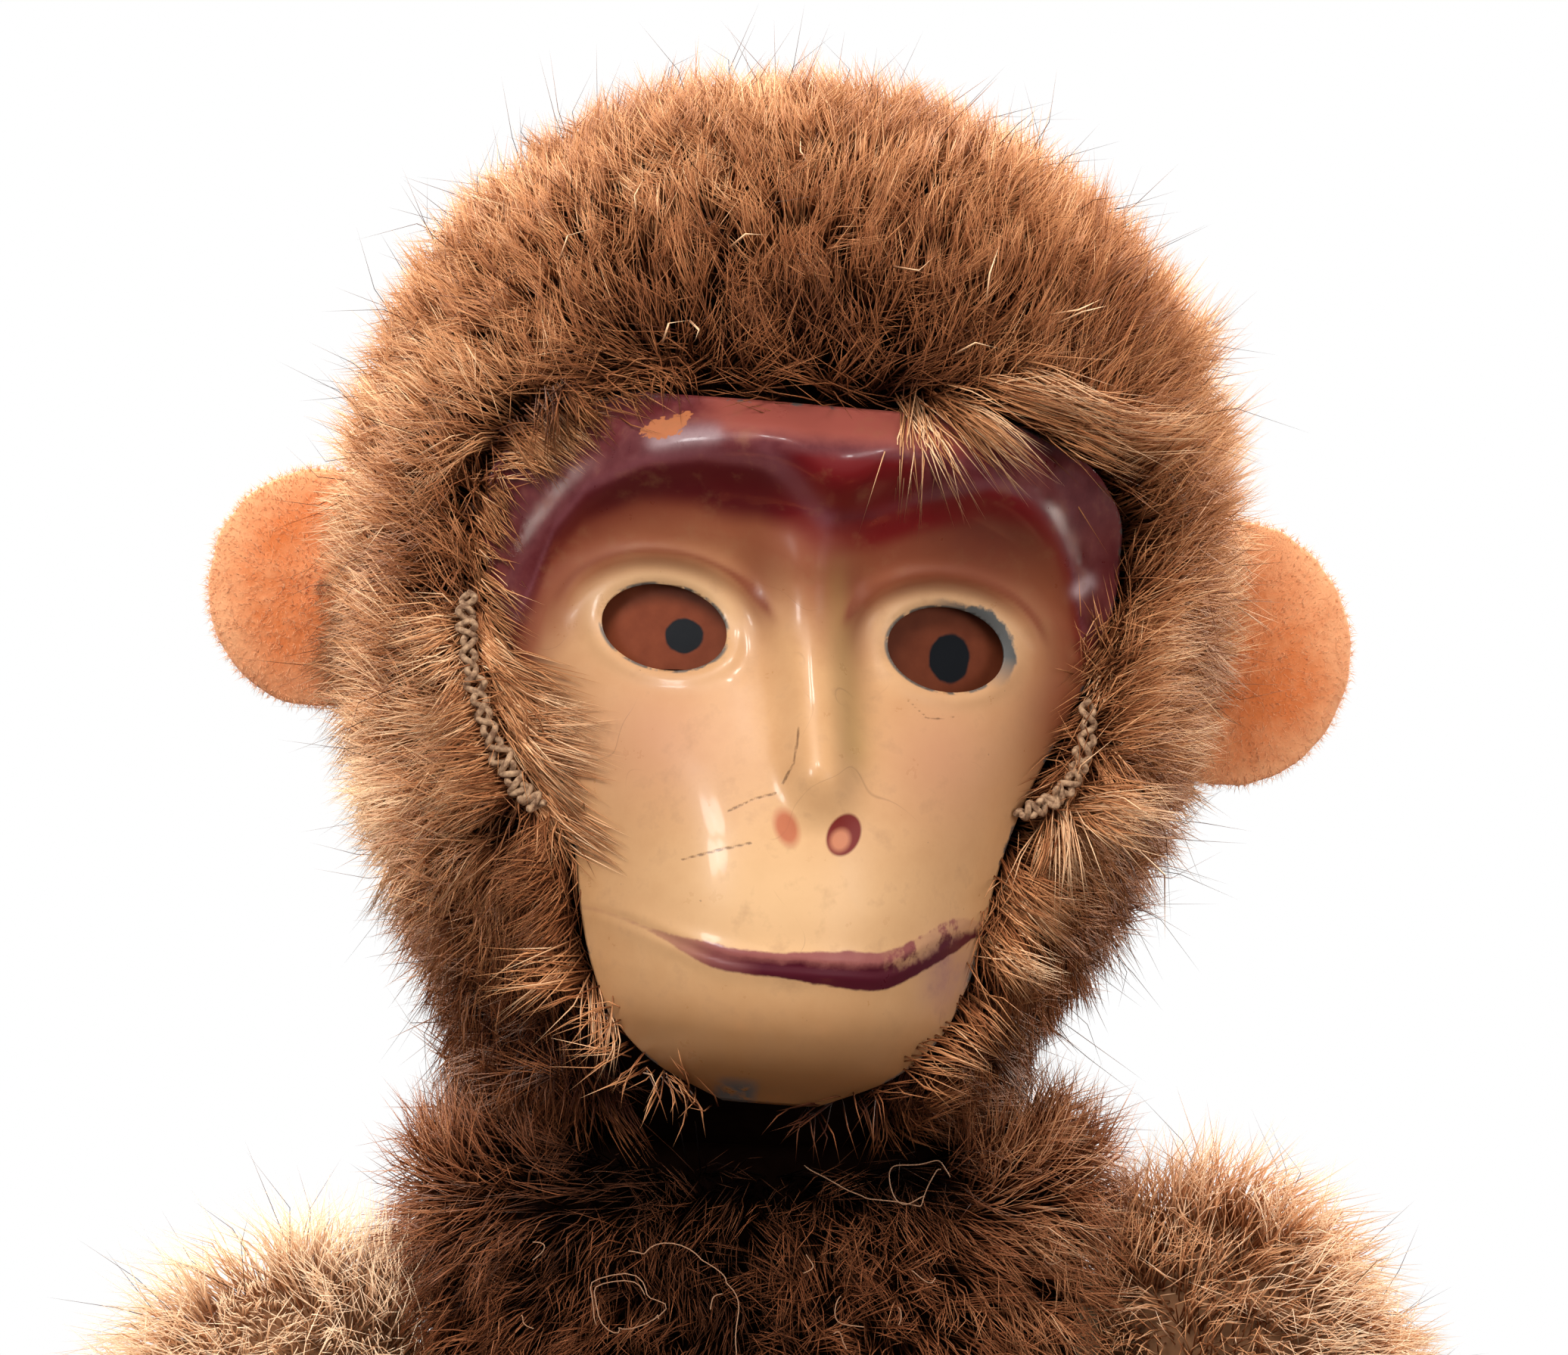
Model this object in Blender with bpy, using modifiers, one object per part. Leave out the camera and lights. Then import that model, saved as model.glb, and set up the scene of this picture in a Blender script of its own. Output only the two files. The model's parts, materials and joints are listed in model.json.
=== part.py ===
"""Yes-no stuffed monkey, seated.

A plush toy with a pressed tin face. Inside the body an upright yoke of two steel strips turns
with the head and tail. Swinging the tail sideways turns the head, a no. Lifting the tail pushes
a wire rod up, and the rod tips the head forward, a yes. The arms and legs turn on disc joints.

Metres, +Z up. The face looks along -Y. The origin is on the yoke's axis, at the seat.
"""

import math

import bmesh
import bpy
import numpy as np
from mathutils import Matrix, Vector

MM = 0.001

# Clearances
GAP = 0.3 * MM  # between pieces that touch
RUNNING = 0.25 * MM  # between a pin and its hole
CHEEK_GAP = 0.4 * MM  # between a lever's boss and the yoke's strips
SPHERE_GAP = 0.6 * MM  # between the head's round underside and its dish
BEYOND = 60 * MM  # how far a cutter reaches past what it cuts

# Body
BODY_HEIGHT = 115 * MM
BODY_SECTIONS = (  # share of the height, half width, half depth, forward shift
    (-0.013, 22, 20, 0),
    (0.0435, 25.5, 24, 0),
    (0.2087, 27.5, 27, 1),
    (0.4174, 30.5, 28.5, 2),
    (0.6087, 29, 26, 1.5),
    (0.7826, 26.8, 22, 0.5),
    (0.9304, 26, 19.5, 0),
    (1.0, 20, 15, 0),
)
SEAT_CUT = 0.5 * MM

# Head, measured in a frame that is upright before the head is cocked
NECK_RISE = 17 * MM
NOD_Z = BODY_HEIGHT + NECK_RISE
NECK_BALL_R = 28 * MM
NECK_BALL_KEPT = 4 * MM  # the ball bounds the head below this depth under the pin
HEAD_COCK = math.radians(4.5)
HEAD_SECTIONS = (  # height above the nod pin, half width, half depth, forward shift
    (-32, 17, 15, 0),
    (-20, 19.5, 19, 0),
    (-10, 23.5, 24, 1),
    (4, 28.5, 29, 1),
    (17, 31.3, 31.5, 0),
    (30, 31.3, 32, -1),
    (42, 27.5, 29, -1),
    (52, 18, 20, -1),
    (56, 8, 9, -1),
)
JAW_PLACE = (0, -20 * MM, -4 * MM)
JAW_RADII = (14.2 * MM, 15.5 * MM, 12 * MM)

# Pressed tin face, heights above the nod pin
TIN = 0.35 * MM
FACE_BACK_SHIFT = 1.1 * MM
FACE_SECTIONS = (  # height, half width, reach on the midline, reach at the rim
    (-18, 3.5, 29.5, 28.5),
    (-16, 8, 32.5, 29),
    (-13, 11.6, 35, 28.5),
    (-9, 13.7, 36.2, 27.5),
    (-5, 14.8, 36.6, 27),
    (0, 15.7, 36.2, 26),
    (6, 17.7, 34.6, 24.5),
    (12, 20.6, 32.2, 22.5),
    (18, 23, 30.6, 20.5),
    (23.5, 23.8, 31, 19.5),
    (28.2, 22.8, 32, 21),
    (31, 19.6, 32, 24),
    (33.1, 13.5, 30.5, 28),
)
NOSE_OUT = 1 * MM  # the nose was pressed a little off the middle
NOSE_TIP_UP = 6 * MM
NOSE_RIDGE = 2.6 * MM
NOSE_HALF_WIDTH = 2.6 * MM
BROW_RISE = 2.2 * MM
BROW_UP = 30 * MM
BROW_REACH = 21 * MM
BROW_FALL = 9.9 * MM  # how far the brow roll has come down at its reach
BROW_DIP = 1.7 * MM
BROW_DIP_WIDTH = 3.2 * MM
EYE_OUT = 10.4 * MM
EYE_UP = 16.1 * MM
EYE_LONG = 9.0 * MM
EYE_TALL = 6.2 * MM
EYE_TILT = {"left": math.radians(7), "right": math.radians(3.5)}
EYE_OVERLAP = 1.2 * MM
EYE_THICK = 0.8 * MM
EYE_SET_BACK = 1.0 * MM
SOCKET_DEPTH = 1.9 * MM

# Ears
EAR_OUT = {"left": 34.8 * MM, "right": 35.9 * MM}
EAR_UP = {"left": 17.5 * MM, "right": 18 * MM}
EAR_BACK = 5 * MM
EAR_R = {"left": 9.2 * MM, "right": 10.4 * MM}
EAR_NARROW = 0.95  # width over height
EAR_THICK = 2.6 * MM
EAR_EDGE = 0.8 * MM

# Neck and yoke
CHANNEL_R = 12.3 * MM
CHANNEL_FLOOR = 16 * MM
BEARING_THICK = 4 * MM
STRIP_THICK = 1.2 * MM
STRIP_HALF_WIDTH = 3 * MM
STRIP_X = 4.6 * MM  # inner face of a strip
STRIP_END = 4 * MM  # strip beyond the pin
FOOT_THICK = 3 * MM
FOOT_R = 9 * MM
FOOT_PIN_R = 2 * MM
TURNTABLE_Z = 0.8 * BODY_HEIGHT
TURNTABLE_THICK = 3 * MM
TURNTABLE_R = 9 * MM
PIN_R = 1.2 * MM
PIN_HEAD = 0.9 * MM  # how thick the pin's head is, and how far it stands round the shank
BOSS_R = 3 * MM
LEVER_THICK = 2 * MM
CRANK_R = 7 * MM
CRANK_HOLE_R = 1.45 * MM
ROD_R = 0.8 * MM
ROD_BESIDE = 2.3 * MM
TAIL_Z = 40 * MM
HEAD_POCKET_R = 12.5 * MM
BOARD_UP = 9 * MM
BOARD_THICK = 2.4 * MM
STEM_WIDTH = 5 * MM
FLANGE_REACH = 6 * MM
FLANGE_THICK = 1.5 * MM
ROD_BEND = 1.6 * MM

# Tail
TAIL_YAW = math.radians(28)
NOD = math.radians(14)
SLOT_MOUTH = 26 * MM  # from the yoke's axis back to the slot's mouth
SLOT_PLAY = 1.5 * MM
SLOT_ROUND = 5 * MM
SOCKET_R = 2.4 * MM
SOCKET_START = 10 * MM
SOCKET_END = 18 * MM
SOCKET_FLOOR = 3 * MM
TAIL_WIRE_R = 1.2 * MM
TAIL_ROOT = 32 * MM
TAIL_LENGTH = 78 * MM
TAIL_RISE = 16 * MM
TAIL_R = 5.2 * MM
TAIL_TIP_R = 3.8 * MM
TAIL_WIRE_IN = 26 * MM
SLOT_HALF_WIDTH = SLOT_MOUTH * math.tan(TAIL_YAW) + TAIL_WIRE_R / math.cos(TAIL_YAW) + GAP
SLOT_HALF_HEIGHT = SLOT_MOUTH * math.tan(NOD) + TAIL_WIRE_R / math.cos(NOD) + SLOT_PLAY

# Limbs
JOINT_PLANE = 26 * MM
JOINT_SEAT_MARGIN = 2 * MM
SHOULDER_DROP = 27 * MM  # from the body's top down to the shoulder
SHOULDER_Z = BODY_HEIGHT - SHOULDER_DROP
SHOULDER_UNEVEN = 4.5 * MM  # the shoulder on +X sits higher
ARM_R = 12.3 * MM
ARM_INSET = 4 * MM  # how far the joint's flat lies inside the arm's round root
ARM_LENGTH = 84 * MM
ARM_SPLAY = math.radians(27)
ARM_DOWN = math.radians(50)
ARM_SHAPE = ((-0.95, 0.62), (-0.35, 0.98), (1.3, 0.95), (4.2, 0.72), (6.9, 0.52))
HAND_SHAPE = ((-2, 5.4, 5.0), (3, 6.2, 4.6), (14, 6.8, 4), (22, 4, 3))
HIP_Z = 24 * MM
HIP_FORWARD = 2 * MM
LEG_R = 13.4 * MM
LEG_INSET = 4 * MM
LEG_LENGTH = 96 * MM
LEG_SPLAY = math.radians(7)
LEG_DOWN = math.radians(5)
LEG_SHAPE = ((-0.95, 0.62), (-0.35, 0.98), (1.6, 0.95), (4.4, 0.74), (7.3, 0.6))
FOOT_SHAPE = ((-9, 5.6, 5), (-3, 8.2, 6.8), (8, 8.4, 6.4), (22, 7.6, 4.6), (32, 4.2, 3))
FOOT_BEND = math.radians(104)
FOOT_FORWARD = 5.2 * MM
DISC_R = 7 * MM
DISC_THICK = 1.8 * MM
COTTER_R = 0.9 * MM
COTTER_REACH = 5.2 * MM

# Facets
BODY_SIDES = 8
LIMB_SIDES = 6
ROUND_SIDES = 24
PIN_SIDES = 12
FACE_COLUMNS = 18
FACE_ROWS = 20


def clear_scene():
    for old in list(bpy.data.objects):
        bpy.data.objects.remove(old, do_unlink=True)


def new_collection(name):
    collection = bpy.data.collections.new(name)
    bpy.context.scene.collection.children.link(collection)
    return collection


clear_scene()
TOY = new_collection("yes_no_monkey")
CUTTERS = new_collection("cutters")
CUTTERS.hide_render = True


def material(name, color, roughness, metallic=0.0):
    made = bpy.data.materials.new(name)
    made.use_nodes = True
    surface = made.node_tree.nodes["Principled BSDF"]
    surface.inputs["Base Color"].default_value = (*color, 1)
    surface.inputs["Roughness"].default_value = roughness
    surface.inputs["Metallic"].default_value = metallic
    return made


MOHAIR = material("mohair", (0.42, 0.22, 0.11), 0.95)
ORANGE_FELT = material("orange_felt", (0.86, 0.42, 0.2), 0.95)
TIN_PAINT = material("tin_paint", (0.8, 0.62, 0.38), 0.25)
EYE_PAINT = material("eye_paint", (0.42, 0.17, 0.09), 0.6)
STEEL = material("steel", (0.5, 0.5, 0.5), 0.35, 1)
FIBRE = material("fibre_board", (0.36, 0.24, 0.14), 0.8)
WOOD = material("wood", (0.62, 0.43, 0.25), 0.7)


def put(name, mesh, surface=None, matrix=None):
    """A part if it has a surface material, or else a hidden cutter."""
    made = bpy.data.objects.new(name, mesh)
    (TOY if surface else CUTTERS).objects.link(made)
    if surface:
        mesh.materials.append(surface)
        mesh.shade_smooth()
        mesh.set_sharp_from_angle(angle=math.radians(40))
    else:
        made.hide_render = True
        made.display_type = "WIRE"
    if matrix is not None:
        made.matrix_world = matrix
    return made


def to_mesh(name, build):
    mesh = bpy.data.meshes.new(name)
    shape = bmesh.new()
    build(shape)
    bmesh.ops.recalc_face_normals(shape, faces=shape.faces)
    shape.to_mesh(mesh)
    shape.free()
    return mesh


def cylinder_mesh(name, radius, length, sides=ROUND_SIDES):
    """A closed cylinder along Z from 0 to its length."""

    def build(shape):
        bmesh.ops.create_cone(
            shape,
            cap_ends=True,
            segments=sides,
            radius1=radius,
            radius2=radius,
            depth=length,
            matrix=Matrix.Translation((0, 0, length / 2)),
        )

    return to_mesh(name, build)


def box_mesh(name, low, high):
    low, high = Vector(low), Vector(high)

    def build(shape):
        middle = Matrix.Translation((low + high) / 2)
        bmesh.ops.create_cube(shape, size=1, matrix=middle @ Matrix.Diagonal((*(high - low), 1)))

    return to_mesh(name, build)


def ball_mesh(name, radius):
    def build(shape):
        bmesh.ops.create_uvsphere(shape, u_segments=26, v_segments=16, radius=radius)

    return to_mesh(name, build)


ALONG_X = Matrix.Rotation(math.radians(90), 4, "Y")
ALONG_BACK = Matrix.Rotation(math.radians(-90), 4, "X")


def at(x=0.0, y=0.0, z=0.0):
    return Matrix.Translation((x, y, z))


def cut(target, cutter, operation="DIFFERENCE"):
    boolean = target.modifiers.new(cutter.name, "BOOLEAN")
    boolean.operation = operation
    boolean.object = cutter
    boolean.solver = "EXACT"
    return boolean


def bevel(target, width, segments=2):
    made = target.modifiers.new("edges", "BEVEL")
    made.width = width
    made.segments = segments
    made.limit_method = "ANGLE"
    made.angle_limit = math.radians(40)
    return made


def soft_form(name, sections, surface, matrix, along=1, sides=BODY_SIDES, levels=2):
    """A stuffed form: a coarse cage of rings, rounded by subdivision.

    Each section is a place along Z in mm, a half width, a half depth and a forward shift.
    The cage stands outside the sizes given by the share that its rounding takes off.
    """
    rounding = (2 + math.cos(2 * math.pi / sides)) / 3

    def build(shape):
        angles = [2 * math.pi * (i + 0.5) / sides for i in range(sides)]
        rings = []
        for section in sections:
            place, wide, deep = section[:3]
            forward = section[3] if len(section) > 3 else 0
            ring = [
                shape.verts.new(
                    Vector(
                        (
                            wide / rounding * math.cos(angle),
                            deep / rounding * math.sin(angle) - forward,
                            along * place,
                        )
                    )
                    * MM
                )
                for angle in angles
            ]
            rings.append(ring)
        for lower, upper in zip(rings, rings[1:]):
            for i in range(sides):
                j = (i + 1) % sides
                shape.faces.new((lower[i], lower[j], upper[j], upper[i]))
        shape.faces.new(rings[0])
        shape.faces.new(rings[-1])

    made = put(name, to_mesh(name, build), surface, matrix)
    smooth = made.modifiers.new("stuffing", "SUBSURF")
    smooth.levels = levels
    smooth.render_levels = levels
    return made


def smooth_through(places, values, wanted):
    """A curve through a few points, flat-ended, whose slope at each point is the mean slope beside it."""
    places, values = np.asarray(places, float), np.asarray(values, float)
    slopes = np.gradient(values, places)
    i = np.clip(np.searchsorted(places, wanted) - 1, 0, len(places) - 2)
    span = places[i + 1] - places[i]
    t = np.clip((wanted - places[i]) / span, 0, 1)
    start, end = values[i], values[i + 1]
    return (
        start * (1 + 2 * t) * (1 - t) ** 2
        + end * t**2 * (3 - 2 * t)
        + span * slopes[i] * t * (1 - t) ** 2
        - span * slopes[i + 1] * t**2 * (1 - t)
    )


FACE_TABLE = np.array(FACE_SECTIONS) * MM


def bell(distance, width):
    return np.exp(-((distance / width) ** 2))


def face_half_width(z):
    return smooth_through(FACE_TABLE[:, 0], FACE_TABLE[:, 1], z)


def face_reach(x, z):
    """How far the painted face stands forward of the head's axis at this width and height."""
    middle = smooth_through(FACE_TABLE[:, 0], FACE_TABLE[:, 2], z)
    rim = smooth_through(FACE_TABLE[:, 0], FACE_TABLE[:, 3], z)
    share = np.clip(np.abs(x) / face_half_width(z), 0, 1)
    reach = rim + (middle - rim) * (1 - share**2.2)
    up_nose = np.clip((z - NOSE_TIP_UP) / (14 * MM), -1, 1)
    nose = np.where(up_nose > 0, 1 - 0.7 * up_nose, np.maximum(0, 1 + up_nose * 5))
    reach = reach + NOSE_RIDGE * nose * bell(x - NOSE_OUT, NOSE_HALF_WIDTH)
    brow = BROW_UP - BROW_FALL * (x / BROW_REACH) ** 4 - BROW_DIP * bell(x - NOSE_OUT, BROW_DIP_WIDTH)
    reach = reach + BROW_RISE * bell(z - brow, 2.8 * MM) * (1 - share**6)
    socket = bell(np.abs(x) - EYE_OUT, 6.4 * MM) * bell(z - EYE_UP - 1.4 * MM, 4.4 * MM)
    return reach - SOCKET_DEPTH * socket


# The head's moving frame
HEAD_TURN = bpy.data.objects.new("head_turn_axis", None)
HEAD_NOD = bpy.data.objects.new("head_nod_axis", None)
for axis in (HEAD_TURN, HEAD_NOD):
    TOY.objects.link(axis)
    axis.empty_display_size = 20 * MM
HEAD_NOD.parent = HEAD_TURN
HEAD_NOD.location = (0, 0, NOD_Z)
HEAD_FRAME = at(z=NOD_Z) @ Matrix.Rotation(HEAD_COCK, 4, "Y")
TAIL_FRAME = at(z=TAIL_Z)


def keep_under(parent, *children):
    bpy.context.view_layer.update()
    for child in children:
        child.parent = parent
        child.matrix_parent_inverse = parent.matrix_world.inverted()


def build_body():
    tall = BODY_HEIGHT / MM
    body = soft_form("body", [(tall * share, *rest) for share, *rest in BODY_SECTIONS], MOHAIR, at(z=-SEAT_CUT))
    floor = box_mesh("seat_plane", (-BEYOND, -BEYOND, -BEYOND), (BEYOND, BEYOND, 0))
    cut(body, put("seat_plane", floor))
    dish = put("neck_dish", ball_mesh("neck_dish", NECK_BALL_R + SPHERE_GAP), None, at(z=NOD_Z))
    cut(body, dish)
    channel = cylinder_mesh("yoke_channel", CHANNEL_R, NOD_Z - CHANNEL_FLOOR)
    cut(body, put("yoke_channel", channel, None, at(z=CHANNEL_FLOOR)))
    slot = box_mesh(
        "tail_slot",
        (-SLOT_HALF_WIDTH, 0.5 * CHANNEL_R, TAIL_Z - SLOT_HALF_HEIGHT),
        (SLOT_HALF_WIDTH, BEYOND, TAIL_Z + SLOT_HALF_HEIGHT),
    )
    slot = put("tail_slot", slot)
    bevel(slot, SLOT_ROUND, 3)
    cut(body, slot)
    return body


def limb_joints():
    """Name, side, height and forward place of each limb's disc joint."""
    for name, side in (("left", -1), ("right", 1)):
        uneven = SHOULDER_UNEVEN if side > 0 else 0
        yield "arm_" + name, side, SHOULDER_Z + uneven, 0.0
        yield "leg_" + name, side, HIP_Z, -HIP_FORWARD


def seat_limb(body, name, side, z, y):
    """Cuts the flat seat and the disc pocket of one joint into the body."""
    root_r = LEG_R if name.startswith("leg") else ARM_R
    place = at(side * JOINT_PLANE, y, z) @ Matrix.Rotation(side * math.radians(90), 4, "Y")
    seat = cylinder_mesh(name + "_seat", root_r + JOINT_SEAT_MARGIN, BEYOND, ROUND_SIDES)
    cut(body, put(name + "_seat", seat, None, place))
    pocket = cylinder_mesh(name + "_body_pocket", DISC_R + GAP, BEYOND)
    deep = at(z=-(DISC_THICK + 2 * GAP))
    cut(body, put(name + "_body_pocket", pocket, None, place @ deep))
    bore = cylinder_mesh(name + "_body_bore", COTTER_R + GAP, BEYOND, PIN_SIDES)
    cut(body, put(name + "_body_bore", bore, None, place @ at(z=-COTTER_REACH - GAP)))
    return place


def disc_with_hole(name, thick, place, surface=FIBRE):
    disc = put(name, cylinder_mesh(name, DISC_R, thick), surface, place)
    hole = cylinder_mesh(name + "_hole", COTTER_R + RUNNING, thick + 2 * MM, PIN_SIDES)
    cut(disc, put(name + "_hole", hole, None, place @ at(z=-MM)))
    return disc


def build_joint_hardware(name, place):
    """The two fibre discs and the cotter pin that hold a limb to the body."""
    inner = disc_with_hole(name + "_body_disc", DISC_THICK, place @ at(z=-DISC_THICK - GAP))
    outer = disc_with_hole(name + "_disc", DISC_THICK, place @ at(z=GAP + GAP))
    cotter = cylinder_mesh(name + "_pin", COTTER_R, 2 * COTTER_REACH, PIN_SIDES)
    pin = put(name + "_pin", cotter, STEEL, place @ at(z=-COTTER_REACH))
    return inner, outer, pin


def limb_frame(name, side, z, y):
    """Z of this frame points back along the limb, from its tip to its joint."""
    arm = name.startswith("arm")
    splay, down = (ARM_SPLAY, ARM_DOWN) if arm else (LEG_SPLAY, LEG_DOWN)
    middle = ARM_R - ARM_INSET if arm else LEG_R - LEG_INSET
    tilt = Matrix.Rotation(-side * splay, 4, "Y")
    lift = Matrix.Rotation(down - math.radians(90), 4, "X")
    return at(side * (JOINT_PLANE + GAP + middle), y, z) @ lift @ tilt


def build_limb(name, side, z, y, place):
    arm = name.startswith("arm")
    frame = limb_frame(name, side, z, y)
    radius, end = (ARM_R, ARM_LENGTH) if arm else (LEG_R, LEG_LENGTH)
    shape = ARM_SHAPE if arm else LEG_SHAPE
    sections = [(radius * a / MM, radius * b / MM, radius * b / MM) for a, b in shape]
    sections[-1] = (end / MM + 3, *sections[-1][1:])
    limb = soft_form(name, sections, MOHAIR, frame, along=-1, sides=LIMB_SIDES)
    inside = box_mesh(name + "_root_plane", (-BEYOND, -BEYOND, -BEYOND), (BEYOND, BEYOND, GAP))
    cut(limb, put(name + "_root_plane", inside, None, place))
    pocket = cylinder_mesh(name + "_pocket", DISC_R + GAP, DISC_THICK + 3 * GAP + MM)
    cut(limb, put(name + "_pocket", pocket, None, place @ at(z=-MM)))
    bore = cylinder_mesh(name + "_bore", COTTER_R + GAP, COTTER_REACH + GAP + MM, PIN_SIDES)
    cut(limb, put(name + "_bore", bore, None, place @ at(z=-MM)))
    tip_name = name.replace("arm", "hand").replace("leg", "foot")
    past = box_mesh(name + "_end_plane", (-BEYOND, -BEYOND, -BEYOND - end), (BEYOND, BEYOND, -end))
    past = put(name + "_end_plane", past, None, frame)
    cut(limb, past)
    if arm:
        bent = frame @ at(z=-end)
        tip = soft_form(tip_name, HAND_SHAPE, ORANGE_FELT, bent, -1, LIMB_SIDES, 1)
    else:
        bent = frame @ at(z=-end - FOOT_FORWARD) @ Matrix.Rotation(FOOT_BEND, 4, "X")
        tip = soft_form(tip_name, FOOT_SHAPE, ORANGE_FELT, bent, 1, LIMB_SIDES, 2)
    near = box_mesh(tip_name + "_near_plane", (-BEYOND, -BEYOND, -end - GAP), (BEYOND, BEYOND, BEYOND))
    cut(tip, put(tip_name + "_near_plane", near, None, frame))
    hinge = bpy.data.objects.new(name + "_axis", None)
    TOY.objects.link(hinge)
    hinge.empty_display_size = 10 * MM
    hinge.location = (side * JOINT_PLANE, y, z)
    return hinge, limb, tip


def build_head():
    head = soft_form("head", HEAD_SECTIONS, MOHAIR, HEAD_FRAME)
    ball = put("neck_ball", ball_mesh("neck_ball", NECK_BALL_R), None, at(z=NOD_Z))
    upper = box_mesh("above_ball", (-BEYOND, -BEYOND, -NECK_BALL_KEPT), (BEYOND, BEYOND, BEYOND + NECK_BALL_R))
    keep = put("neck_ball_and_above", ball.data, None, at(z=NOD_Z))
    joined = keep.modifiers.new("above", "BOOLEAN")
    joined.operation = "UNION"
    joined.object = put("above_ball", upper, None, at(z=NOD_Z))
    joined.solver = "EXACT"
    cut(head, keep, "INTERSECT")
    jaw = put("jaw", ball_mesh("jaw", 1), None, HEAD_FRAME @ at(*JAW_PLACE) @ Matrix.Diagonal((*JAW_RADII, 1)))
    cut(head, jaw, "UNION")
    pocket = cylinder_mesh("head_pocket", HEAD_POCKET_R, BEYOND + BOARD_UP + BOARD_THICK + GAP)
    cut(head, put("head_pocket", pocket, None, at(z=NOD_Z - BEYOND)))
    swing = CRANK_R + ROD_R + NECK_BALL_R * math.sin(NOD) + MM
    relief = box_mesh(
        "rod_relief",
        (-ROD_BESIDE - ROD_R - MM, 0, -BEYOND),
        (-ROD_BESIDE + ROD_R + MM, swing, -0.3 * NECK_BALL_R),
    )
    cut(head, put("rod_relief", relief, None, at(z=NOD_Z)))
    cut(head, build_face_cutter()).solver = "MANIFOLD"
    return head


def face_grid(name, extra, shift, depth=0.0):
    """The face's sheet, or with a depth the block that clears it out of the head's front."""

    def build(shape):
        bmesh.ops.create_grid(shape, x_segments=FACE_COLUMNS, y_segments=FACE_ROWS, size=1)
        low, high = FACE_TABLE[0, 0] - extra, FACE_TABLE[-1, 0] + extra
        points = np.array([vertex.co for vertex in shape.verts])
        z = low + (high - low) * (points[:, 1] + 1) / 2
        inside = np.clip(z, FACE_TABLE[0, 0], FACE_TABLE[-1, 0])
        half = face_half_width(inside)
        x = points[:, 0] * (half + extra)
        y = shift - face_reach(np.clip(x, -half, half), inside)
        for vertex, place in zip(shape.verts, np.stack([x, y, z], axis=1)):
            vertex.co = place
        if depth:
            grown = bmesh.ops.extrude_face_region(shape, geom=shape.faces[:])
            moved = [item for item in grown["geom"] if isinstance(item, bmesh.types.BMVert)]
            for vertex in moved:
                vertex.co.y = -depth

    return to_mesh(name, build)


def build_face_cutter():
    cutter = face_grid("face_recess", 0.5 * MM, TIN + FACE_BACK_SHIFT, BEYOND)
    return put("face_recess", cutter, None, HEAD_FRAME)


def eye_frame(side, tilt):
    """Y of this frame is the face's inward normal behind one eye cut-out."""
    x, step = side * EYE_OUT, 2 * MM
    slope_x = (face_reach(x + step, EYE_UP) - face_reach(x - step, EYE_UP)) / (2 * step)
    turn = math.atan(float(slope_x))
    front = at(x, -float(face_reach(x, EYE_UP)), EYE_UP)
    return (
        HEAD_FRAME
        @ front
        @ Matrix.Rotation(-turn, 4, "Z")
        @ Matrix.Rotation(tilt, 4, "Y")
    )


def oval_mesh(name, half_long, half_tall, near, far):
    """An oval block across Y from near to far."""

    def build(shape):
        bmesh.ops.create_cone(
            shape,
            cap_ends=True,
            segments=ROUND_SIDES,
            radius1=1,
            radius2=1,
            depth=far - near,
            matrix=Matrix.Translation((0, (near + far) / 2, 0)) @ ALONG_BACK,
        )
        bmesh.ops.scale(shape, vec=(half_long, 1, half_tall), verts=shape.verts)

    return to_mesh(name, build)


def build_face(head):
    face = put("face_mask", face_grid("face_mask", 0, 0), TIN_PAINT, HEAD_FRAME)
    sheet = face.modifiers.new("tin", "SOLIDIFY")
    sheet.thickness = TIN
    sheet.offset = -1
    eyes = []
    for name, side in (("left", -1), ("right", 1)):
        frame = eye_frame(side, EYE_TILT[name])
        long, tall = EYE_LONG / 2, EYE_TALL / 2
        hole = oval_mesh("eye_hole_" + name, long, tall, -BEYOND, 6 * MM)
        cut(face, put("eye_hole_" + name, hole, None, frame))
        near = TIN + EYE_SET_BACK
        wide, high = long + EYE_OVERLAP, tall + EYE_OVERLAP
        eye = oval_mesh("eye_" + name, wide, high, near, near + EYE_THICK)
        eye = put("eye_" + name, eye, EYE_PAINT, frame)
        pocket = oval_mesh("eye_pocket_" + name, wide + GAP, high + GAP, -BEYOND, near + EYE_THICK + GAP)
        cut(head, put("eye_pocket_" + name, pocket, None, frame))
        eyes.append(eye)
    return face, eyes


def build_ears(head):
    ears = []
    for name, side in (("left", -1), ("right", 1)):
        place = HEAD_FRAME @ at(side * EAR_OUT[name], EAR_BACK, EAR_UP[name])
        half, tall = EAR_THICK / 2, EAR_R[name]
        wide = EAR_NARROW * tall
        ear = put("ear_" + name, oval_mesh("ear_" + name, wide, tall, -half, half), ORANGE_FELT, place)
        bevel(ear, EAR_EDGE)
        slit = oval_mesh("ear_slit_" + name, wide + GAP, tall + GAP, -half - GAP, half + GAP)
        cut(head, put("ear_slit_" + name, slit, None, place))
        ears.append(ear)
    return ears


def disc_piece(name, radius, low, high, surface):
    return put(name, cylinder_mesh(name, radius, high - low), surface, at(z=low))


def drill(target, name, radius, low, high, x=0.0, y=0.0):
    hole = cylinder_mesh(name, radius, high - low, PIN_SIDES)
    cut(target, put(name, hole, None, at(x, y, low)))


FOOT_DISC_LOW = CHANNEL_FLOOR + GAP + BEARING_THICK + GAP
STRIP_LOW = FOOT_DISC_LOW + FOOT_THICK - 1.5 * MM


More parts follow.
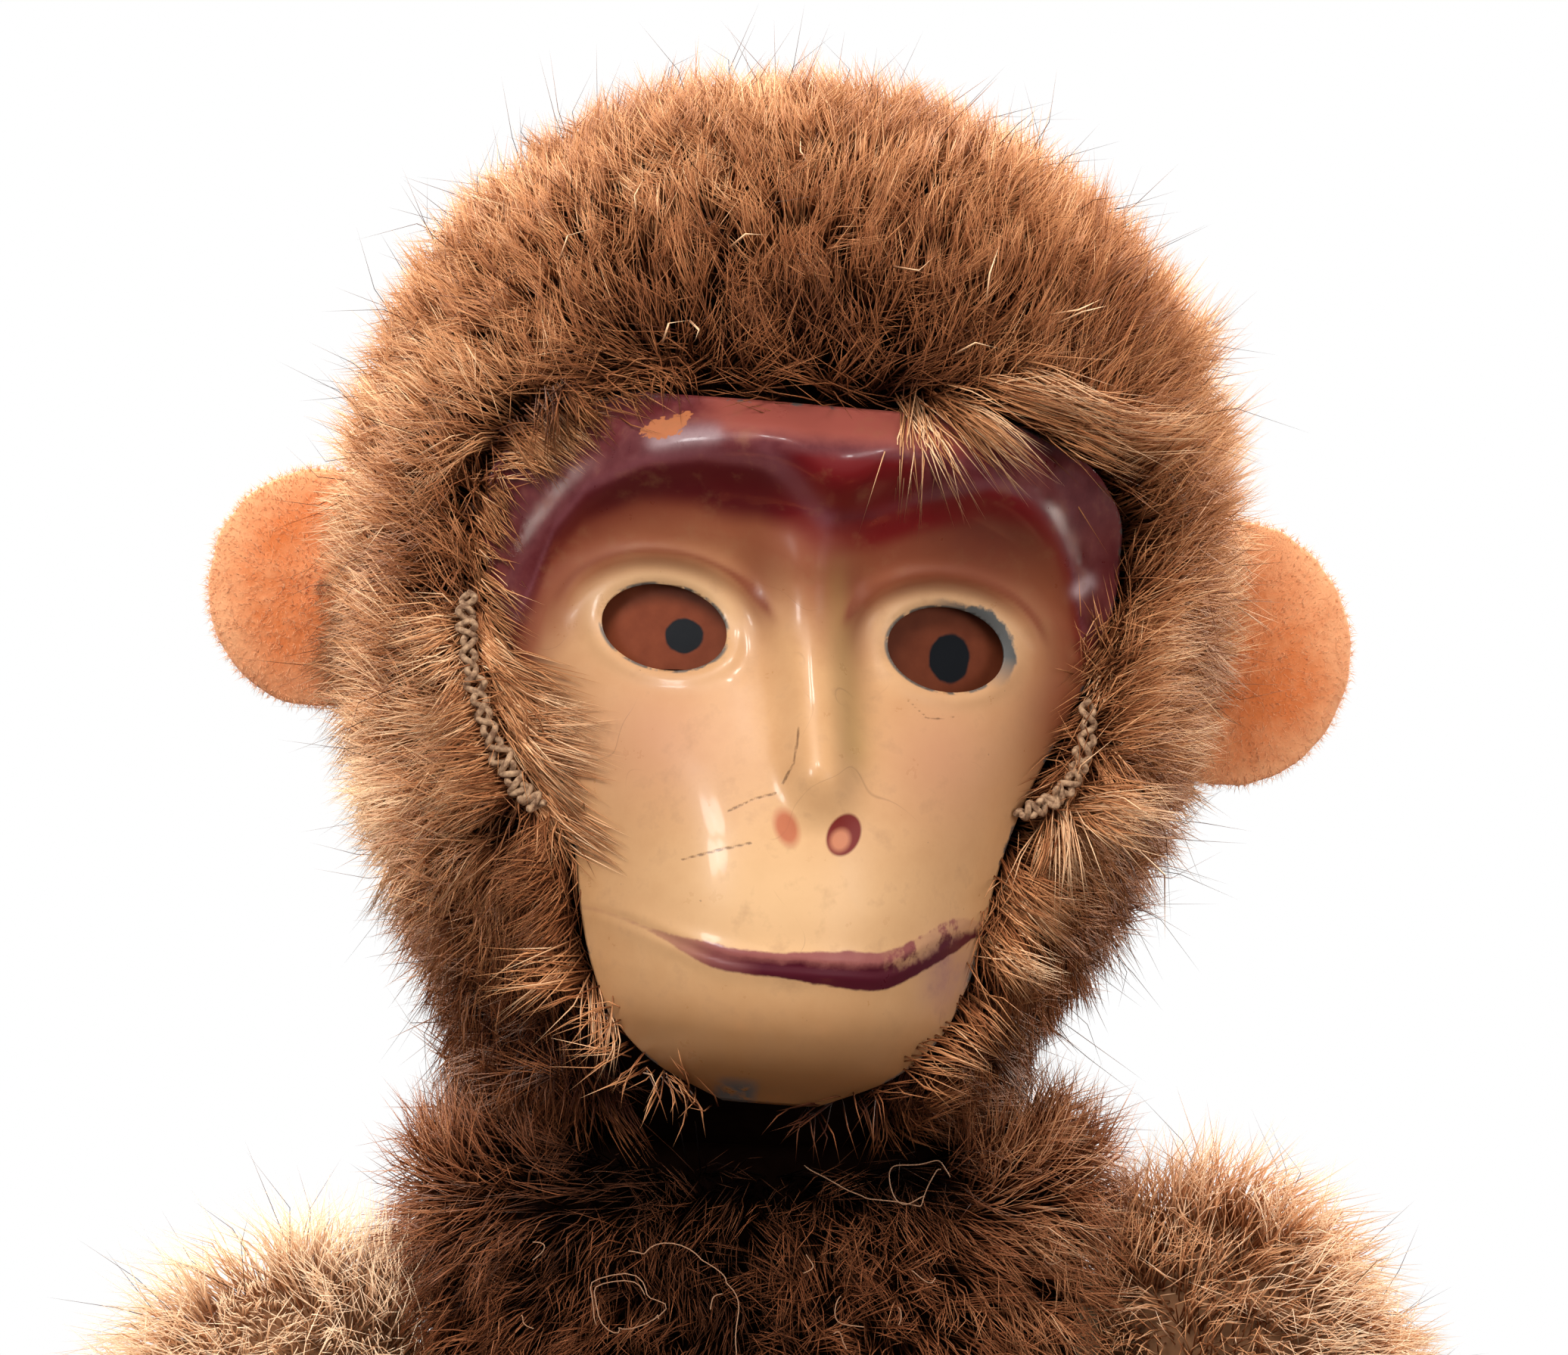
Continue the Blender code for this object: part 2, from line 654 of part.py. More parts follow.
def build_bearings():
    low = CHANNEL_FLOOR + GAP
    base = disc_piece("base_bearing", CHANNEL_R - GAP, low, low + BEARING_THICK, WOOD)
    drill(base, "base_bearing_hole", FOOT_PIN_R + RUNNING, low + MM, low + 10 * MM)
    low = TURNTABLE_Z
    ring = disc_piece("neck_plate", CHANNEL_R - GAP, low, low + TURNTABLE_THICK, FIBRE)
    inner = cylinder_mesh("neck_plate_hole", TURNTABLE_R + GAP, 3 * TURNTABLE_THICK)
    cut(ring, put("neck_plate_hole", inner, None, at(z=low - 2 * MM)))
    return base, ring


def strip_slots(target, name, low, high):
    for side_name, side in (("left", -1), ("right", 1)):
        inner, outer = STRIP_X - GAP, STRIP_X + STRIP_THICK + GAP
        slot = box_mesh(
            f"{name}_slot_{side_name}",
            (min(side * inner, side * outer), -STRIP_HALF_WIDTH - GAP, low),
            (max(side * inner, side * outer), STRIP_HALF_WIDTH + GAP, high),
        )
        cut(target, put(f"{name}_slot_{side_name}", slot))


def build_yoke():
    low = FOOT_DISC_LOW
    foot = disc_piece("yoke_foot", FOOT_R, low, low + FOOT_THICK, STEEL)
    peg = cylinder_mesh("yoke_foot_peg", FOOT_PIN_R, BEARING_THICK, PIN_SIDES)
    peg = put("yoke_foot_peg", peg, None, at(z=low - BEARING_THICK + 1.6 * MM))
    cut(foot, peg, "UNION")
    strip_slots(foot, "yoke_foot", STRIP_LOW - GAP, low + 10 * MM)
    low = TURNTABLE_Z
    table = disc_piece("turntable", TURNTABLE_R, low, low + TURNTABLE_THICK, STEEL)
    strip_slots(table, "turntable", low - 5 * MM, low + 10 * MM)
    drill(table, "turntable_rod_hole", ROD_R + GAP, low - MM, low + 10 * MM, -ROD_BESIDE, CRANK_R)
    strips = []
    for name, side in (("left", -1), ("right", 1)):
        near, far = side * STRIP_X, side * (STRIP_X + STRIP_THICK)
        strip = box_mesh(
            "yoke_strip_" + name,
            (min(near, far), -STRIP_HALF_WIDTH, STRIP_LOW),
            (max(near, far), STRIP_HALF_WIDTH, NOD_Z + STRIP_END),
        )
        strip = put("yoke_strip_" + name, strip, STEEL)
        for pin_name, z in (("nod", NOD_Z), ("tail", TAIL_Z)):
            hole = cylinder_mesh(f"{pin_name}_hole_{name}", PIN_R + RUNNING, 2 * BEYOND, PIN_SIDES)
            cut(strip, put(f"{pin_name}_hole_{name}", hole, None, at(-BEYOND, 0, z) @ ALONG_X))
        strips.append(strip)
    pins = []
    for pin_name, z in (("nod_pin", NOD_Z), ("tail_pin", TAIL_Z)):
        reach = STRIP_X + STRIP_THICK + PIN_HEAD + GAP
        shank = cylinder_mesh(pin_name, PIN_R, 2 * reach, PIN_SIDES)
        pin = put(pin_name, shank, STEEL, at(-reach, 0, z) @ ALONG_X)
        for side in (-1, 1):
            head = cylinder_mesh(f"{pin_name}_head", PIN_R + PIN_HEAD, PIN_HEAD, PIN_SIDES)
            start = side * reach - (0 if side < 0 else PIN_HEAD)
            head_name = f"{pin_name}_head_{'left' if side < 0 else 'right'}"
            shown = put(head_name, head, None, at(start, 0, z) @ ALONG_X)
            cut(pin, shown, "UNION")
        pins.append(pin)
    return [foot, table, *strips, *pins]


def build_lever(name, z, reach_back, surface=STEEL):
    """A lever on a cross pin, with a crank hole behind the pin for the push rod."""
    width = 2 * (STRIP_X - CHEEK_GAP)
    lever = put(name, cylinder_mesh(name, BOSS_R, width), surface, at(-width / 2, 0, z) @ ALONG_X)
    arm = box_mesh(
        name + "_arm",
        (-LEVER_THICK / 2, 0, z - BOSS_R * 0.85),
        (LEVER_THICK / 2, reach_back, z + BOSS_R * 0.85),
    )
    cut(lever, put(name + "_arm", arm), "UNION")
    hole = cylinder_mesh(name + "_crank_hole", CRANK_HOLE_R, 2 * width, PIN_SIDES)
    cut(lever, put(name + "_crank_hole", hole, None, at(-width, CRANK_R, z) @ ALONG_X))
    bore = cylinder_mesh(name + "_pin_bore", PIN_R + RUNNING, 2 * width, PIN_SIDES)
    cut(lever, put(name + "_pin_bore", bore, None, at(-width, 0, z) @ ALONG_X))
    return lever


def build_levers():
    rocker = build_lever("head_rocker", NOD_Z, CRANK_R + 2.4 * MM)
    stem = box_mesh(
        "rocker_stem",
        (-LEVER_THICK / 2, -STEM_WIDTH / 2, NOD_Z + 2 * MM),
        (LEVER_THICK / 2, STEM_WIDTH / 2, NOD_Z + BOARD_UP - GAP - FLANGE_THICK / 3),
    )
    cut(rocker, put("rocker_stem", stem), "UNION")
    flange = box_mesh(
        "rocker_flange",
        (-FLANGE_REACH, -STEM_WIDTH / 2, NOD_Z + BOARD_UP - GAP - FLANGE_THICK),
        (FLANGE_REACH, STEM_WIDTH / 2, NOD_Z + BOARD_UP - GAP),
    )
    cut(rocker, put("rocker_flange", flange), "UNION")
    board_low = NOD_Z + BOARD_UP
    board = disc_piece("head_board", HEAD_POCKET_R - GAP, board_low, board_low + BOARD_THICK, WOOD)
    lever = build_lever("tail_lever", TAIL_Z, SOCKET_START + 2 * MM)
    socket = cylinder_mesh("tail_socket", SOCKET_R, SOCKET_END - SOCKET_START)
    cut(lever, put("tail_socket", socket, None, at(0, SOCKET_START, TAIL_Z) @ ALONG_BACK), "UNION")
    bore = cylinder_mesh("tail_socket_bore", TAIL_WIRE_R + RUNNING, BEYOND, PIN_SIDES)
    cut(lever, put("tail_socket_bore", bore, None, at(0, SOCKET_START + SOCKET_FLOOR, TAIL_Z) @ ALONG_BACK))
    return rocker, board, lever


def wire(name, points, radii, surface, resolution=2):
    """A round wire or sleeve through the points, as a closed mesh."""
    curve = bpy.data.curves.new(name, "CURVE")
    curve.dimensions = "3D"
    curve.bevel_depth = 1.0
    curve.bevel_resolution = resolution
    curve.use_fill_caps = True
    line = curve.splines.new("POLY")
    line.points.add(len(points) - 1)
    for point, place, radius in zip(line.points, points, radii):
        point.co = (*place, 1)
        point.radius = radius
    guide = bpy.data.objects.new(name + "_guide", curve)
    CUTTERS.objects.link(guide)
    bpy.context.view_layer.update()
    graph = bpy.context.evaluated_depsgraph_get()
    mesh = bpy.data.meshes.new_from_object(guide.evaluated_get(graph))
    bpy.data.objects.remove(guide, do_unlink=True)
    bpy.data.curves.remove(curve)
    shape = bmesh.new()
    shape.from_mesh(mesh)
    bmesh.ops.remove_doubles(shape, verts=shape.verts, dist=0.01 * MM)
    bmesh.ops.recalc_face_normals(shape, faces=shape.faces)
    shape.to_mesh(mesh)
    shape.free()
    mesh.materials.clear()
    return put(name, mesh, surface)


def build_push_rod():
    """Bent wire: its two ends turn across into the crank holes of the rocker and the tail lever."""
    bend = ROD_BEND
    steps = [math.pi / 2 * i / 4 for i in range(5)]
    tip = LEVER_THICK / 2 + 0.8 * MM
    lower = [(tip, TAIL_Z)]
    lower += [
        (-ROD_BESIDE + bend * (1 - math.sin(a)), TAIL_Z + bend * (1 - math.cos(a))) for a in steps
    ]
    upper = [(x, NOD_Z + TAIL_Z - z) for x, z in reversed(lower)]
    points = [(x, CRANK_R, z) for x, z in lower + upper]
    return wire("push_rod", points, [ROD_R] * len(points), STEEL)


def tail_path(share):
    """A point on the tail's middle line, from its root at 0 to its tip at 1."""
    return Vector((0, TAIL_ROOT + TAIL_LENGTH * share, TAIL_Z + TAIL_RISE * share**2))


def build_tail():
    start = SOCKET_START + SOCKET_FLOOR + GAP
    inside = TAIL_WIRE_IN / TAIL_LENGTH
    points = [Vector((0, start, TAIL_Z)), tail_path(0)]
    points += [tail_path(inside * i / 4) for i in range(1, 5)]
    tail_wire = wire("tail_wire", points, [TAIL_WIRE_R] * len(points), STEEL)
    shares = [i / 14 for i in range(15)]
    radii = [TAIL_R + (TAIL_TIP_R - TAIL_R) * share for share in shares]
    shares = [0, *shares[1:], 1.02]
    radii = [0.8 * TAIL_R, *radii[1:-1], TAIL_TIP_R * 0.85, TAIL_TIP_R * 0.5]
    tail = wire("tail", [tail_path(share) for share in shares], radii, MOHAIR, 3)
    bore_points = [points[1] - Vector((0, 4 * MM, 0)), *points[2:]]
    bore_points.append(tail_path(inside + GAP / TAIL_LENGTH))
    hollow = [TAIL_WIRE_R + GAP] * len(bore_points)
    cutter = wire("tail_bore", bore_points, hollow, MOHAIR)
    TOY.objects.unlink(cutter)
    CUTTERS.objects.link(cutter)
    cutter.hide_render = True
    cutter.display_type = "WIRE"
    cut(tail, cutter)
    return tail_wire, tail


def main():
    body = build_body()
    for name, side, z, y in limb_joints():
        place = seat_limb(body, name, side, z, y)
        hinge, limb, tip = build_limb(name, side, z, y, place)
        inner, outer, pin = build_joint_hardware(name, place)
        keep_under(hinge, limb, tip, outer)
    build_bearings()
    yoke = build_yoke()
    rod = build_push_rod()
    head = build_head()
    face, eyes = build_face(head)
    ears = build_ears(head)
    rocker, board, lever = build_levers()
    tail_wire, tail = build_tail()
    keep_under(HEAD_TURN, *yoke, rod)
    keep_under(HEAD_NOD, head, face, *eyes, *ears, rocker, board)
    tail_axis = bpy.data.objects.new("tail_lift_axis", None)
    TOY.objects.link(tail_axis)
    tail_axis.location = (0, 0, TAIL_Z)
    keep_under(HEAD_TURN, tail_axis)
    keep_under(tail_axis, lever, tail_wire, tail)


main()
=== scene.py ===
"""Yes-no stuffed monkey: its looks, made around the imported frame."""

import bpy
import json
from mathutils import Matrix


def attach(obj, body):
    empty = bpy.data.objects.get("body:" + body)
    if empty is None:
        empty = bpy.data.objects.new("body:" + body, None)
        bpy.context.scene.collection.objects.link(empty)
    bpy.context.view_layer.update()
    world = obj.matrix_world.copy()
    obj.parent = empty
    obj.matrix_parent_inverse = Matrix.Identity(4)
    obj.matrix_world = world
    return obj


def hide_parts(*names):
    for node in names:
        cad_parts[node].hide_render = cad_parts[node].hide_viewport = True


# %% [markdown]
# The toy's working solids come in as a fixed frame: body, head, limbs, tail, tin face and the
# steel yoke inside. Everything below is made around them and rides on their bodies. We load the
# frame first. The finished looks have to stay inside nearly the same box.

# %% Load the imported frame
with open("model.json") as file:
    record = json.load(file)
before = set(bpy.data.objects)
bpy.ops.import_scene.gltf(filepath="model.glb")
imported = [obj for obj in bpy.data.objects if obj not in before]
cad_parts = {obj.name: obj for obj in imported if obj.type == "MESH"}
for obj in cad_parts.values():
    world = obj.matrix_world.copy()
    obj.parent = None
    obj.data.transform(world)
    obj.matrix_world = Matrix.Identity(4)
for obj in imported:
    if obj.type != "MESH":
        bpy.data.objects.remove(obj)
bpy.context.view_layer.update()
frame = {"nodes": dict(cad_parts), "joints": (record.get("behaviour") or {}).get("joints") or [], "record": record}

import json
import math

import bmesh
import bpy
import numpy as np
from mathutils import Matrix, Vector

MM = 0.001
joints = {joint["name"]: joint for joint in frame["joints"]}

# %% [markdown]
# Many surfaces here are measured in the head's own frame: it stands on the nod pin, and the whole
# head is cocked a few degrees to one side, as an old toy's head sits. Points are worked out
# upright, in metres from the pin, and one matrix then carries them to their place.

# %% The head's frame
NOD_PIN = np.array(joints["head_nod"]["pos_m"])
HEAD_COCK = math.radians(4.5)
HEAD_PLACE = Matrix.Translation(NOD_PIN) @ Matrix.Rotation(HEAD_COCK, 4, "Y")


def placed(points, place):
    """Rows of points carried by a 4 by 4 matrix: each is turned and then moved."""
    turn = np.array(place)
    return points @ turn[:3, :3].T + turn[:3, 3]


print("nod pin at", NOD_PIN)

# %% [markdown]
# Materials are written as sums. A small class wraps a node socket, and its operators add the Math
# nodes, so a mask reads like the formula that it is. Any other node comes from one method that
# takes the node's type, its settings and the values or links of its sockets.

# %% Shader maths in Python operators


class Value:
    """A number from a node socket. Its operators add Math nodes to the same tree."""

    def __init__(self, finish, socket):
        self.finish = finish
        self.socket = socket

    def maths(self, operation, *others):
        return self.finish.node("ShaderNodeMath", {"operation": operation}, [self, *others])

    def __add__(self, other):
        return self.maths("ADD", other)

    __radd__ = __add__

    def __sub__(self, other):
        return self.maths("SUBTRACT", other)

    def __rsub__(self, other):
        return (self * -1.0) + other

    def __mul__(self, other):
        return self.maths("MULTIPLY", other)

    __rmul__ = __mul__

    def __truediv__(self, other):
        return self.maths("DIVIDE", other)

    def __abs__(self):
        return self.maths("ABSOLUTE")

    def clamped(self):
        return self.maths("MAXIMUM", 0.0).maths("MINIMUM", 1.0)

    def at_least(self, other):
        return self.maths("MAXIMUM", other)

    def step(self, start, end):
        """A ramp from 0 at start to 1 at end, flat outside."""
        return ((self - start) / (end - start)).clamped()


class Nodes:
    """A node tree, of a material or of the world, that grows by one method call a node."""

    def __init__(self, tree):
        self.tree = tree

    def feed(self, target, value):
        """A plain value goes on the socket itself, and a node's value is linked to it."""
        if isinstance(value, Value):
            self.tree.links.new(value.socket, target)
        elif isinstance(value, tuple):
            target.default_value = (*value, 1.0)[: len(target.default_value)]
        else:
            target.default_value = value

    def node(self, kind, settings, sockets, output=0):
        """Adds a node: settings first, then a value or a link for each named or numbered socket."""
        made = self.tree.nodes.new(kind)
        for key, value in settings.items():
            setattr(made, key, value)
        for key, value in sockets.items() if isinstance(sockets, dict) else enumerate(sockets):
            self.feed(made.inputs[key], value)
        return Value(self, made.outputs[output])

    def place(self, kind="Object"):
        return self.node("ShaderNodeTexCoord", {}, {}, kind)

    def ray(self, kind):
        """One for rays of this kind, none for others."""
        return self.node("ShaderNodeLightPath", {}, {}, kind)

    def parts(self, vector):
        """A vector's three numbers."""
        split = self.node("ShaderNodeSeparateXYZ", {}, [vector]).socket.node
        return [Value(self, socket) for socket in split.outputs]


class Finish(Nodes):
    """One material, built around a Principled BSDF."""

    def __init__(self, name, roughness=0.5, metallic=0.0, **constants):
        self.material = bpy.data.materials.new(name)
        self.material.use_nodes = True
        super().__init__(self.material.node_tree)
        self.surface = self.tree.nodes["Principled BSDF"]
        self.set("Roughness", roughness)
        self.set("Metallic", metallic)
        for socket, value in constants.items():
            self.set(socket.replace("_", " "), value)

    def set(self, socket, value):
        self.feed(self.surface.inputs[socket], value)
        return self

    def attribute(self, name):
        return self.node("ShaderNodeAttribute", {"attribute_name": name}, {}, "Fac")

    def noise(self, where, scale, detail=3.0, roughness=0.55):
        sockets = {"Vector": where, "Scale": scale, "Detail": detail, "Roughness": roughness}
        return self.node("ShaderNodeTexNoise", {}, sockets)

    def ramp(self, value, stops):
        made = self.node("ShaderNodeValToRGB", {}, [value])
        elements = made.socket.node.color_ramp.elements
        while len(elements) < len(stops):
            elements.new(0.5)
        for element, (place, color) in zip(elements, stops):
            element.position = place
            element.color = (*color, 1.0)
        return made

    def blend(self, share, first, second, how="MIX"):
        """The first colour where the share is 0, the second where it is 1."""
        sockets = {0: share, 6: first, 7: second}
        return self.node("ShaderNodeMix", {"data_type": "RGBA", "blend_type": how}, sockets, 2)

    def coats(self, color, coats):
        """A colour under coats of paint, each with the share that it covers."""
        for share, paint in coats:
            color = self.blend(share, color, paint)
        return color

    def bump(self, height, distance, strength=1.0):
        sockets = {"Height": height, "Distance": distance, "Strength": strength}
        return self.set("Normal", self.node("ShaderNodeBump", {}, sockets))


print("shader maths ready")

# %% [markdown]
# Every modelled surface is a grid: a function of two parameters worked out as whole arrays. One
# helper joins the grid's points with quads, another closes a row of rings at both ends, and the
# last puts points and faces into a mesh in one go, with any values that its material reads.

# %% From arrays to meshes


def grid_quads(rows, columns, around=False):
    """Quads between neighbours in a rows by columns grid, from last column to first if around."""
    across = columns if around else columns - 1
    row, column = np.meshgrid(np.arange(rows - 1), np.arange(across), indexing="ij")
    following = (column + 1) % columns
    corners = [row * columns + column, row * columns + following]
    corners += [(row + 1) * columns + following, (row + 1) * columns + column]
    return np.stack(corners, axis=-1).reshape(-1, 4)


def closed_grid(rings, first, last):
    """Points and faces of rings of points in a row, closed by a fan to one point at each end."""
    rows, columns = rings.shape[:2]
    count, ring = rows * columns, np.arange(columns)
    following = (ring + 1) % columns
    end = count - columns
    first_fan = np.stack([np.full(columns, count), following, ring], axis=1)
    last_fan = np.stack([np.full(columns, count + 1), end + ring, end + following], axis=1)
    points = np.concatenate([rings.reshape(-1, 3), [first, last]])
    return points, [grid_quads(rows, columns, around=True), first_fan, last_fan]


def ring_grid(across, columns):
    """Both parameters of a form at each of its grid's points, once round without a double."""
    around = np.linspace(0, 2 * np.pi, columns, endpoint=False)
    return np.meshgrid(across, around, indexing="ij")


def put_mesh(name, points, faces, finish, attributes=None):
    """A mesh from an array of points and a list of face arrays, three or four corners each."""
    mesh = bpy.data.meshes.new(name)
    groups = [group for group in faces if len(group)]
    corners = np.concatenate([group.reshape(-1) for group in groups]).astype(np.int32)
    sizes = np.concatenate([np.full(len(group), group.shape[1]) for group in groups])
    mesh.vertices.add(len(points))
    mesh.vertices.foreach_set("co", np.asarray(points, np.float32).reshape(-1))
    mesh.loops.add(len(corners))
    mesh.loops.foreach_set("vertex_index", corners)
    mesh.polygons.add(len(sizes))
    starts = np.concatenate([[0], np.cumsum(sizes)[:-1]]).astype(np.int32)
    mesh.polygons.foreach_set("loop_start", starts)
    mesh.update(calc_edges=True)
    mesh.polygons.foreach_set("use_smooth", np.ones(len(sizes), bool))
    for key, values in (attributes or {}).items():
        layer = mesh.attributes.new(key, "FLOAT", "POINT")
        layer.data.foreach_set("value", np.asarray(values, np.float32).reshape(-1))
    mesh.materials.append(finish.material)
    made = bpy.data.objects.new(name, mesh)
    bpy.context.scene.collection.objects.link(made)
    return made


def finish_piece(piece, body, slot, *nodes):
    """Rides the piece on its body and hides the nodes that it stands for. The slot is not used."""
    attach(piece, body)
    if nodes:
        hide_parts(*nodes)
    print(piece.name, len(piece.data.polygons), "faces on", body)
    return piece


# %% [markdown]
# A stuffed piece is cloth round wood wool: its outline swells and tapers in one smooth curve. We
# give a few rings, each with its place, half width, half depth and forward shift in millimetres,
# and a cubic that runs through them fills in the rest. The cloth lies a little under the pile.

# %% Stuffed forms as functions of two parameters


def cubic(start, end, start_slope, end_slope, t):
    """The cubic with these values and slopes where t is 0 and 1."""
    return (
        start * (1 + 2 * t) * (1 - t) ** 2
        + end * t**2 * (3 - 2 * t)
        + start_slope * t * (1 - t) ** 2
        - end_slope * t**2 * (1 - t)
    )


def smooth_through(values, share):
    """A curve through evenly numbered values. Between two of them it is the cubic whose slopes
    are half the step between each one's neighbours."""
    values = np.asarray(values, float)
    slopes = np.gradient(values, axis=0)
    position = np.clip(share, 0, 1) * (len(values) - 1)
    i = np.clip(position.astype(int), 0, len(values) - 2)
    return cubic(values[i], values[i + 1], slopes[i], slopes[i + 1], (position - i)[..., None])


class Form:
    """A stuffed form: rings along Z, in millimetres, carried to their place. Each ring has its
    place, half width, half depth and forward shift, which is none where it is left out."""

    def __init__(self, rings, place, squareness=2.0):
        self.rings = np.array([(*ring, 0)[:4] for ring in sorted(rings)], float) * MM
        self.place = place
        self.power = 2.0 / squareness

    def upright(self, along, around):
        """Before it is placed: x and y go round an oval, z and its radii run along the rings."""
        ring = smooth_through(self.rings, along)
        cosine, sine = np.cos(around), np.sin(around)
        x = ring[..., 1] * np.sign(cosine) * np.abs(cosine) ** self.power
        y = ring[..., 2] * np.sign(sine) * np.abs(sine) ** self.power - ring[..., 3]
        return np.stack([x, y, ring[..., 0]], axis=-1)

    def points(self, along, around):
        return placed(self.upright(along, around), self.place)

    def normals(self, along, around):
        """Outward, across the two directions in which the surface runs."""
        step = 1e-3
        low, high = np.clip(along - step, 0.002, 0.998), np.clip(along + step, 0.002, 0.998)
        lengthwise = self.points(high, around) - self.points(low, around)
        inside = np.clip(along, 0.004, 0.996)
        crosswise = self.points(inside, around + step) - self.points(inside, around - step)
        normal = np.cross(crosswise, lengthwise)
        return normal / (np.linalg.norm(normal, axis=-1, keepdims=True) + 1e-12)

    def skin(self, name, finish, rows=72, columns=96, inset=0.0):
        """The cloth: a closed grid whose two end rows meet in points."""
        along, around = ring_grid(np.linspace(0, 1, rows), columns)
        points = self.points(along, around) - inset * self.normals(along, around)
        shape = closed_grid(points[1:-1], points[0].mean(axis=0), points[-1].mean(axis=0))
        return put_mesh(name, *shape, finish)


# %% [markdown]
# The toy's forms, in millimetres: first and last rings have no width, so each form closes in a
# round end. The head is an egg, widest at the ears, and the body is a long pear that is flat where
# it sits. The same measures set the solids inside, so the two agree.

# %% The head, body, limbs and tail
HEAD = Form(
    [(-25, 0, 0), (-24, 12, 12), (-20, 18.5, 18.5), (-12, 21.6, 22.5, 2), (-4, 25.2, 26.5, 3.5)]
    + [(5, 28.4, 28.8, 2), (14, 30.5, 30.6, 0.3), (24, 31.2, 31.6, -0.8), (33, 30, 31, -1)]
    + [(42, 26.4, 28.2, -1), (49, 20.6, 22.4, -1), (53.6, 13.5, 15, -1), (55.6, 6.5, 7.5, -1)]
    + [(56.2, 0, 0, -1)],
    HEAD_PLACE,
)
BODY = Form(
    [(0.2, 0, 0), (0.3, 12, 11), (0.6, 19, 17.6), (4, 24, 22.6, 0.1), (14, 26.4, 25.4, 0.4)]
    + [(26, 26.6, 27, 1), (40, 29, 27.8, 1.8), (54, 29.8, 27.6, 1.8), (68, 29, 26, 1.5)]
    + [(82, 27, 23.2, 1), (94, 26, 20.8, 0.4), (103, 25.6, 19.4), (109, 23.6, 17.6)]
    + [(111.6, 18, 13), (112, 0, 0)],
    Matrix.Identity(4),
    2.15,
)


def limb_place(side, z, y, middle, splay, down):
    """Z of this frame runs back along the limb, out of its tip and through its joint."""
    tilt = Matrix.Rotation(-side * math.radians(splay), 4, "Y")
    lift = Matrix.Rotation(math.radians(down - 90), 4, "X")
    return Matrix.Translation((side * (JOINT_PLANE + middle) * MM, y * MM, z * MM)) @ lift @ tilt


JOINT_PLANE = 26.3
SIDES = {"left": -1, "right": 1}
RINGS = {
    "arm": [(11.4, 0, 0), (10.6, 4.6, 4.6), (7, 9.2, 9.2), (0, 11.7, 11.7), (-14, 11.4, 11.4)]
    + [(-32, 9.9, 9.9), (-52, 8.4, 8.4), (-72, 7, 7), (-83, 6.1, 6.1), (-84, 4, 4), (-84.2, 0, 0)],
    "hand": [(-84.4, 0, 0), (-84.6, 4, 3.8), (-86, 5.4, 4.6), (-92, 6.2, 4.2), (-99, 6.4, 3.8)]
    + [(-104, 4.8, 3.2), (-106.4, 2.4, 1.8), (-107, 0, 0)],
    "leg": [(12.6, 0, 0), (11.6, 5, 5), (7.6, 10, 10), (0, 12.7, 12.7), (-18, 12.4, 12.4)]
    + [(-40, 11, 11), (-62, 9.6, 9.6), (-84, 8.4, 8.4), (-94.6, 7.8, 7.8), (-96, 5.5, 5.5)]
    + [(-96.2, 0, 0)],
    "foot": [(-9.6, 0, 0), (-8.8, 3.6, 3), (-5, 7.2, 4.4), (3, 8.4, 5), (14, 8.2, 4.8)]
    + [(24, 6.8, 4), (30, 4.4, 3), (32.4, 0, 0)],
}
ANKLE = Matrix.Translation((0, 0, -101.2 * MM)) @ Matrix.Rotation(math.radians(104), 4, "X")
TAIL_WIRE_Z = joints["tail_lift"]["pos_m"][2] / MM

LIMBS = {}
for side_name, side in SIDES.items():
    shoulder = joints[f"arm_{side_name}_swing"]["pos_m"]
    hip = joints[f"leg_{side_name}_swing"]["pos_m"]
    arm_place = limb_place(side, shoulder[2] / MM, 0, middle=8.3, splay=27, down=50)
    leg_place = limb_place(side, hip[2] / MM, hip[1] / MM, middle=9.4, splay=7, down=5)
    places = {"arm": arm_place, "hand": arm_place, "leg": leg_place, "foot": leg_place @ ANKLE}
    for kind, place in places.items():
        LIMBS[kind + "_" + side_name] = Form(RINGS[kind], place)
print("forms:", 2 + len(LIMBS))

# %% [markdown]
# Old mohair is not one brown. It has faded to gold where light and hands reached it and stayed
# dark in the folds. A smooth noise from a few sine waves gives such patches anywhere in space,
# the same on every run, and the same trick with three of them gives the pile its swirls.

# %% Smooth noise in space


def waves(points, size, seed):
    """About -1 to 1: the mean of nine sine waves of about this size, each across its own
    direction."""
    rng = np.random.default_rng(seed)
    directions = rng.normal(size=(9, 3))
    directions /= np.linalg.norm(directions, axis=1, keepdims=True)
    lengths = size * rng.uniform(0.7, 1.5, 9)
    phases = rng.uniform(0, 2 * np.pi, 9)
    ways = points @ (directions / lengths[:, None]).T
    return np.sin(ways * 2 * np.pi + phases).mean(axis=-1) * 2.2


def swirls(points, size, seed):
    """Three such noises as the parts of a direction."""
    return np.stack([waves(points, size, seed + i) for i in range(3)], axis=-1)


print("noise at the nod pin:", round(float(waves(NOD_PIN[None], 0.02, 1)[0]), 3))

# %% [markdown]
# Mohair pile is thousands of fine hairs that stand up from the cloth and lean one way. Hair
# objects would be lost when the model leaves Blender, so each hair is real mesh: a thin
# three-sided spike with a root ring, a knee ring and a tip, ten triangles in all. A felt's fibres
# are so short that they need no knee. A whole patch of hairs is worked out at once. Its UV map
# holds the hair's tone across and root to tip upward, so one small picture can colour every hair.

# %% Hairs as meshes


def unit(vectors):
    return vectors / (np.linalg.norm(vectors, axis=-1, keepdims=True) + 1e-12)


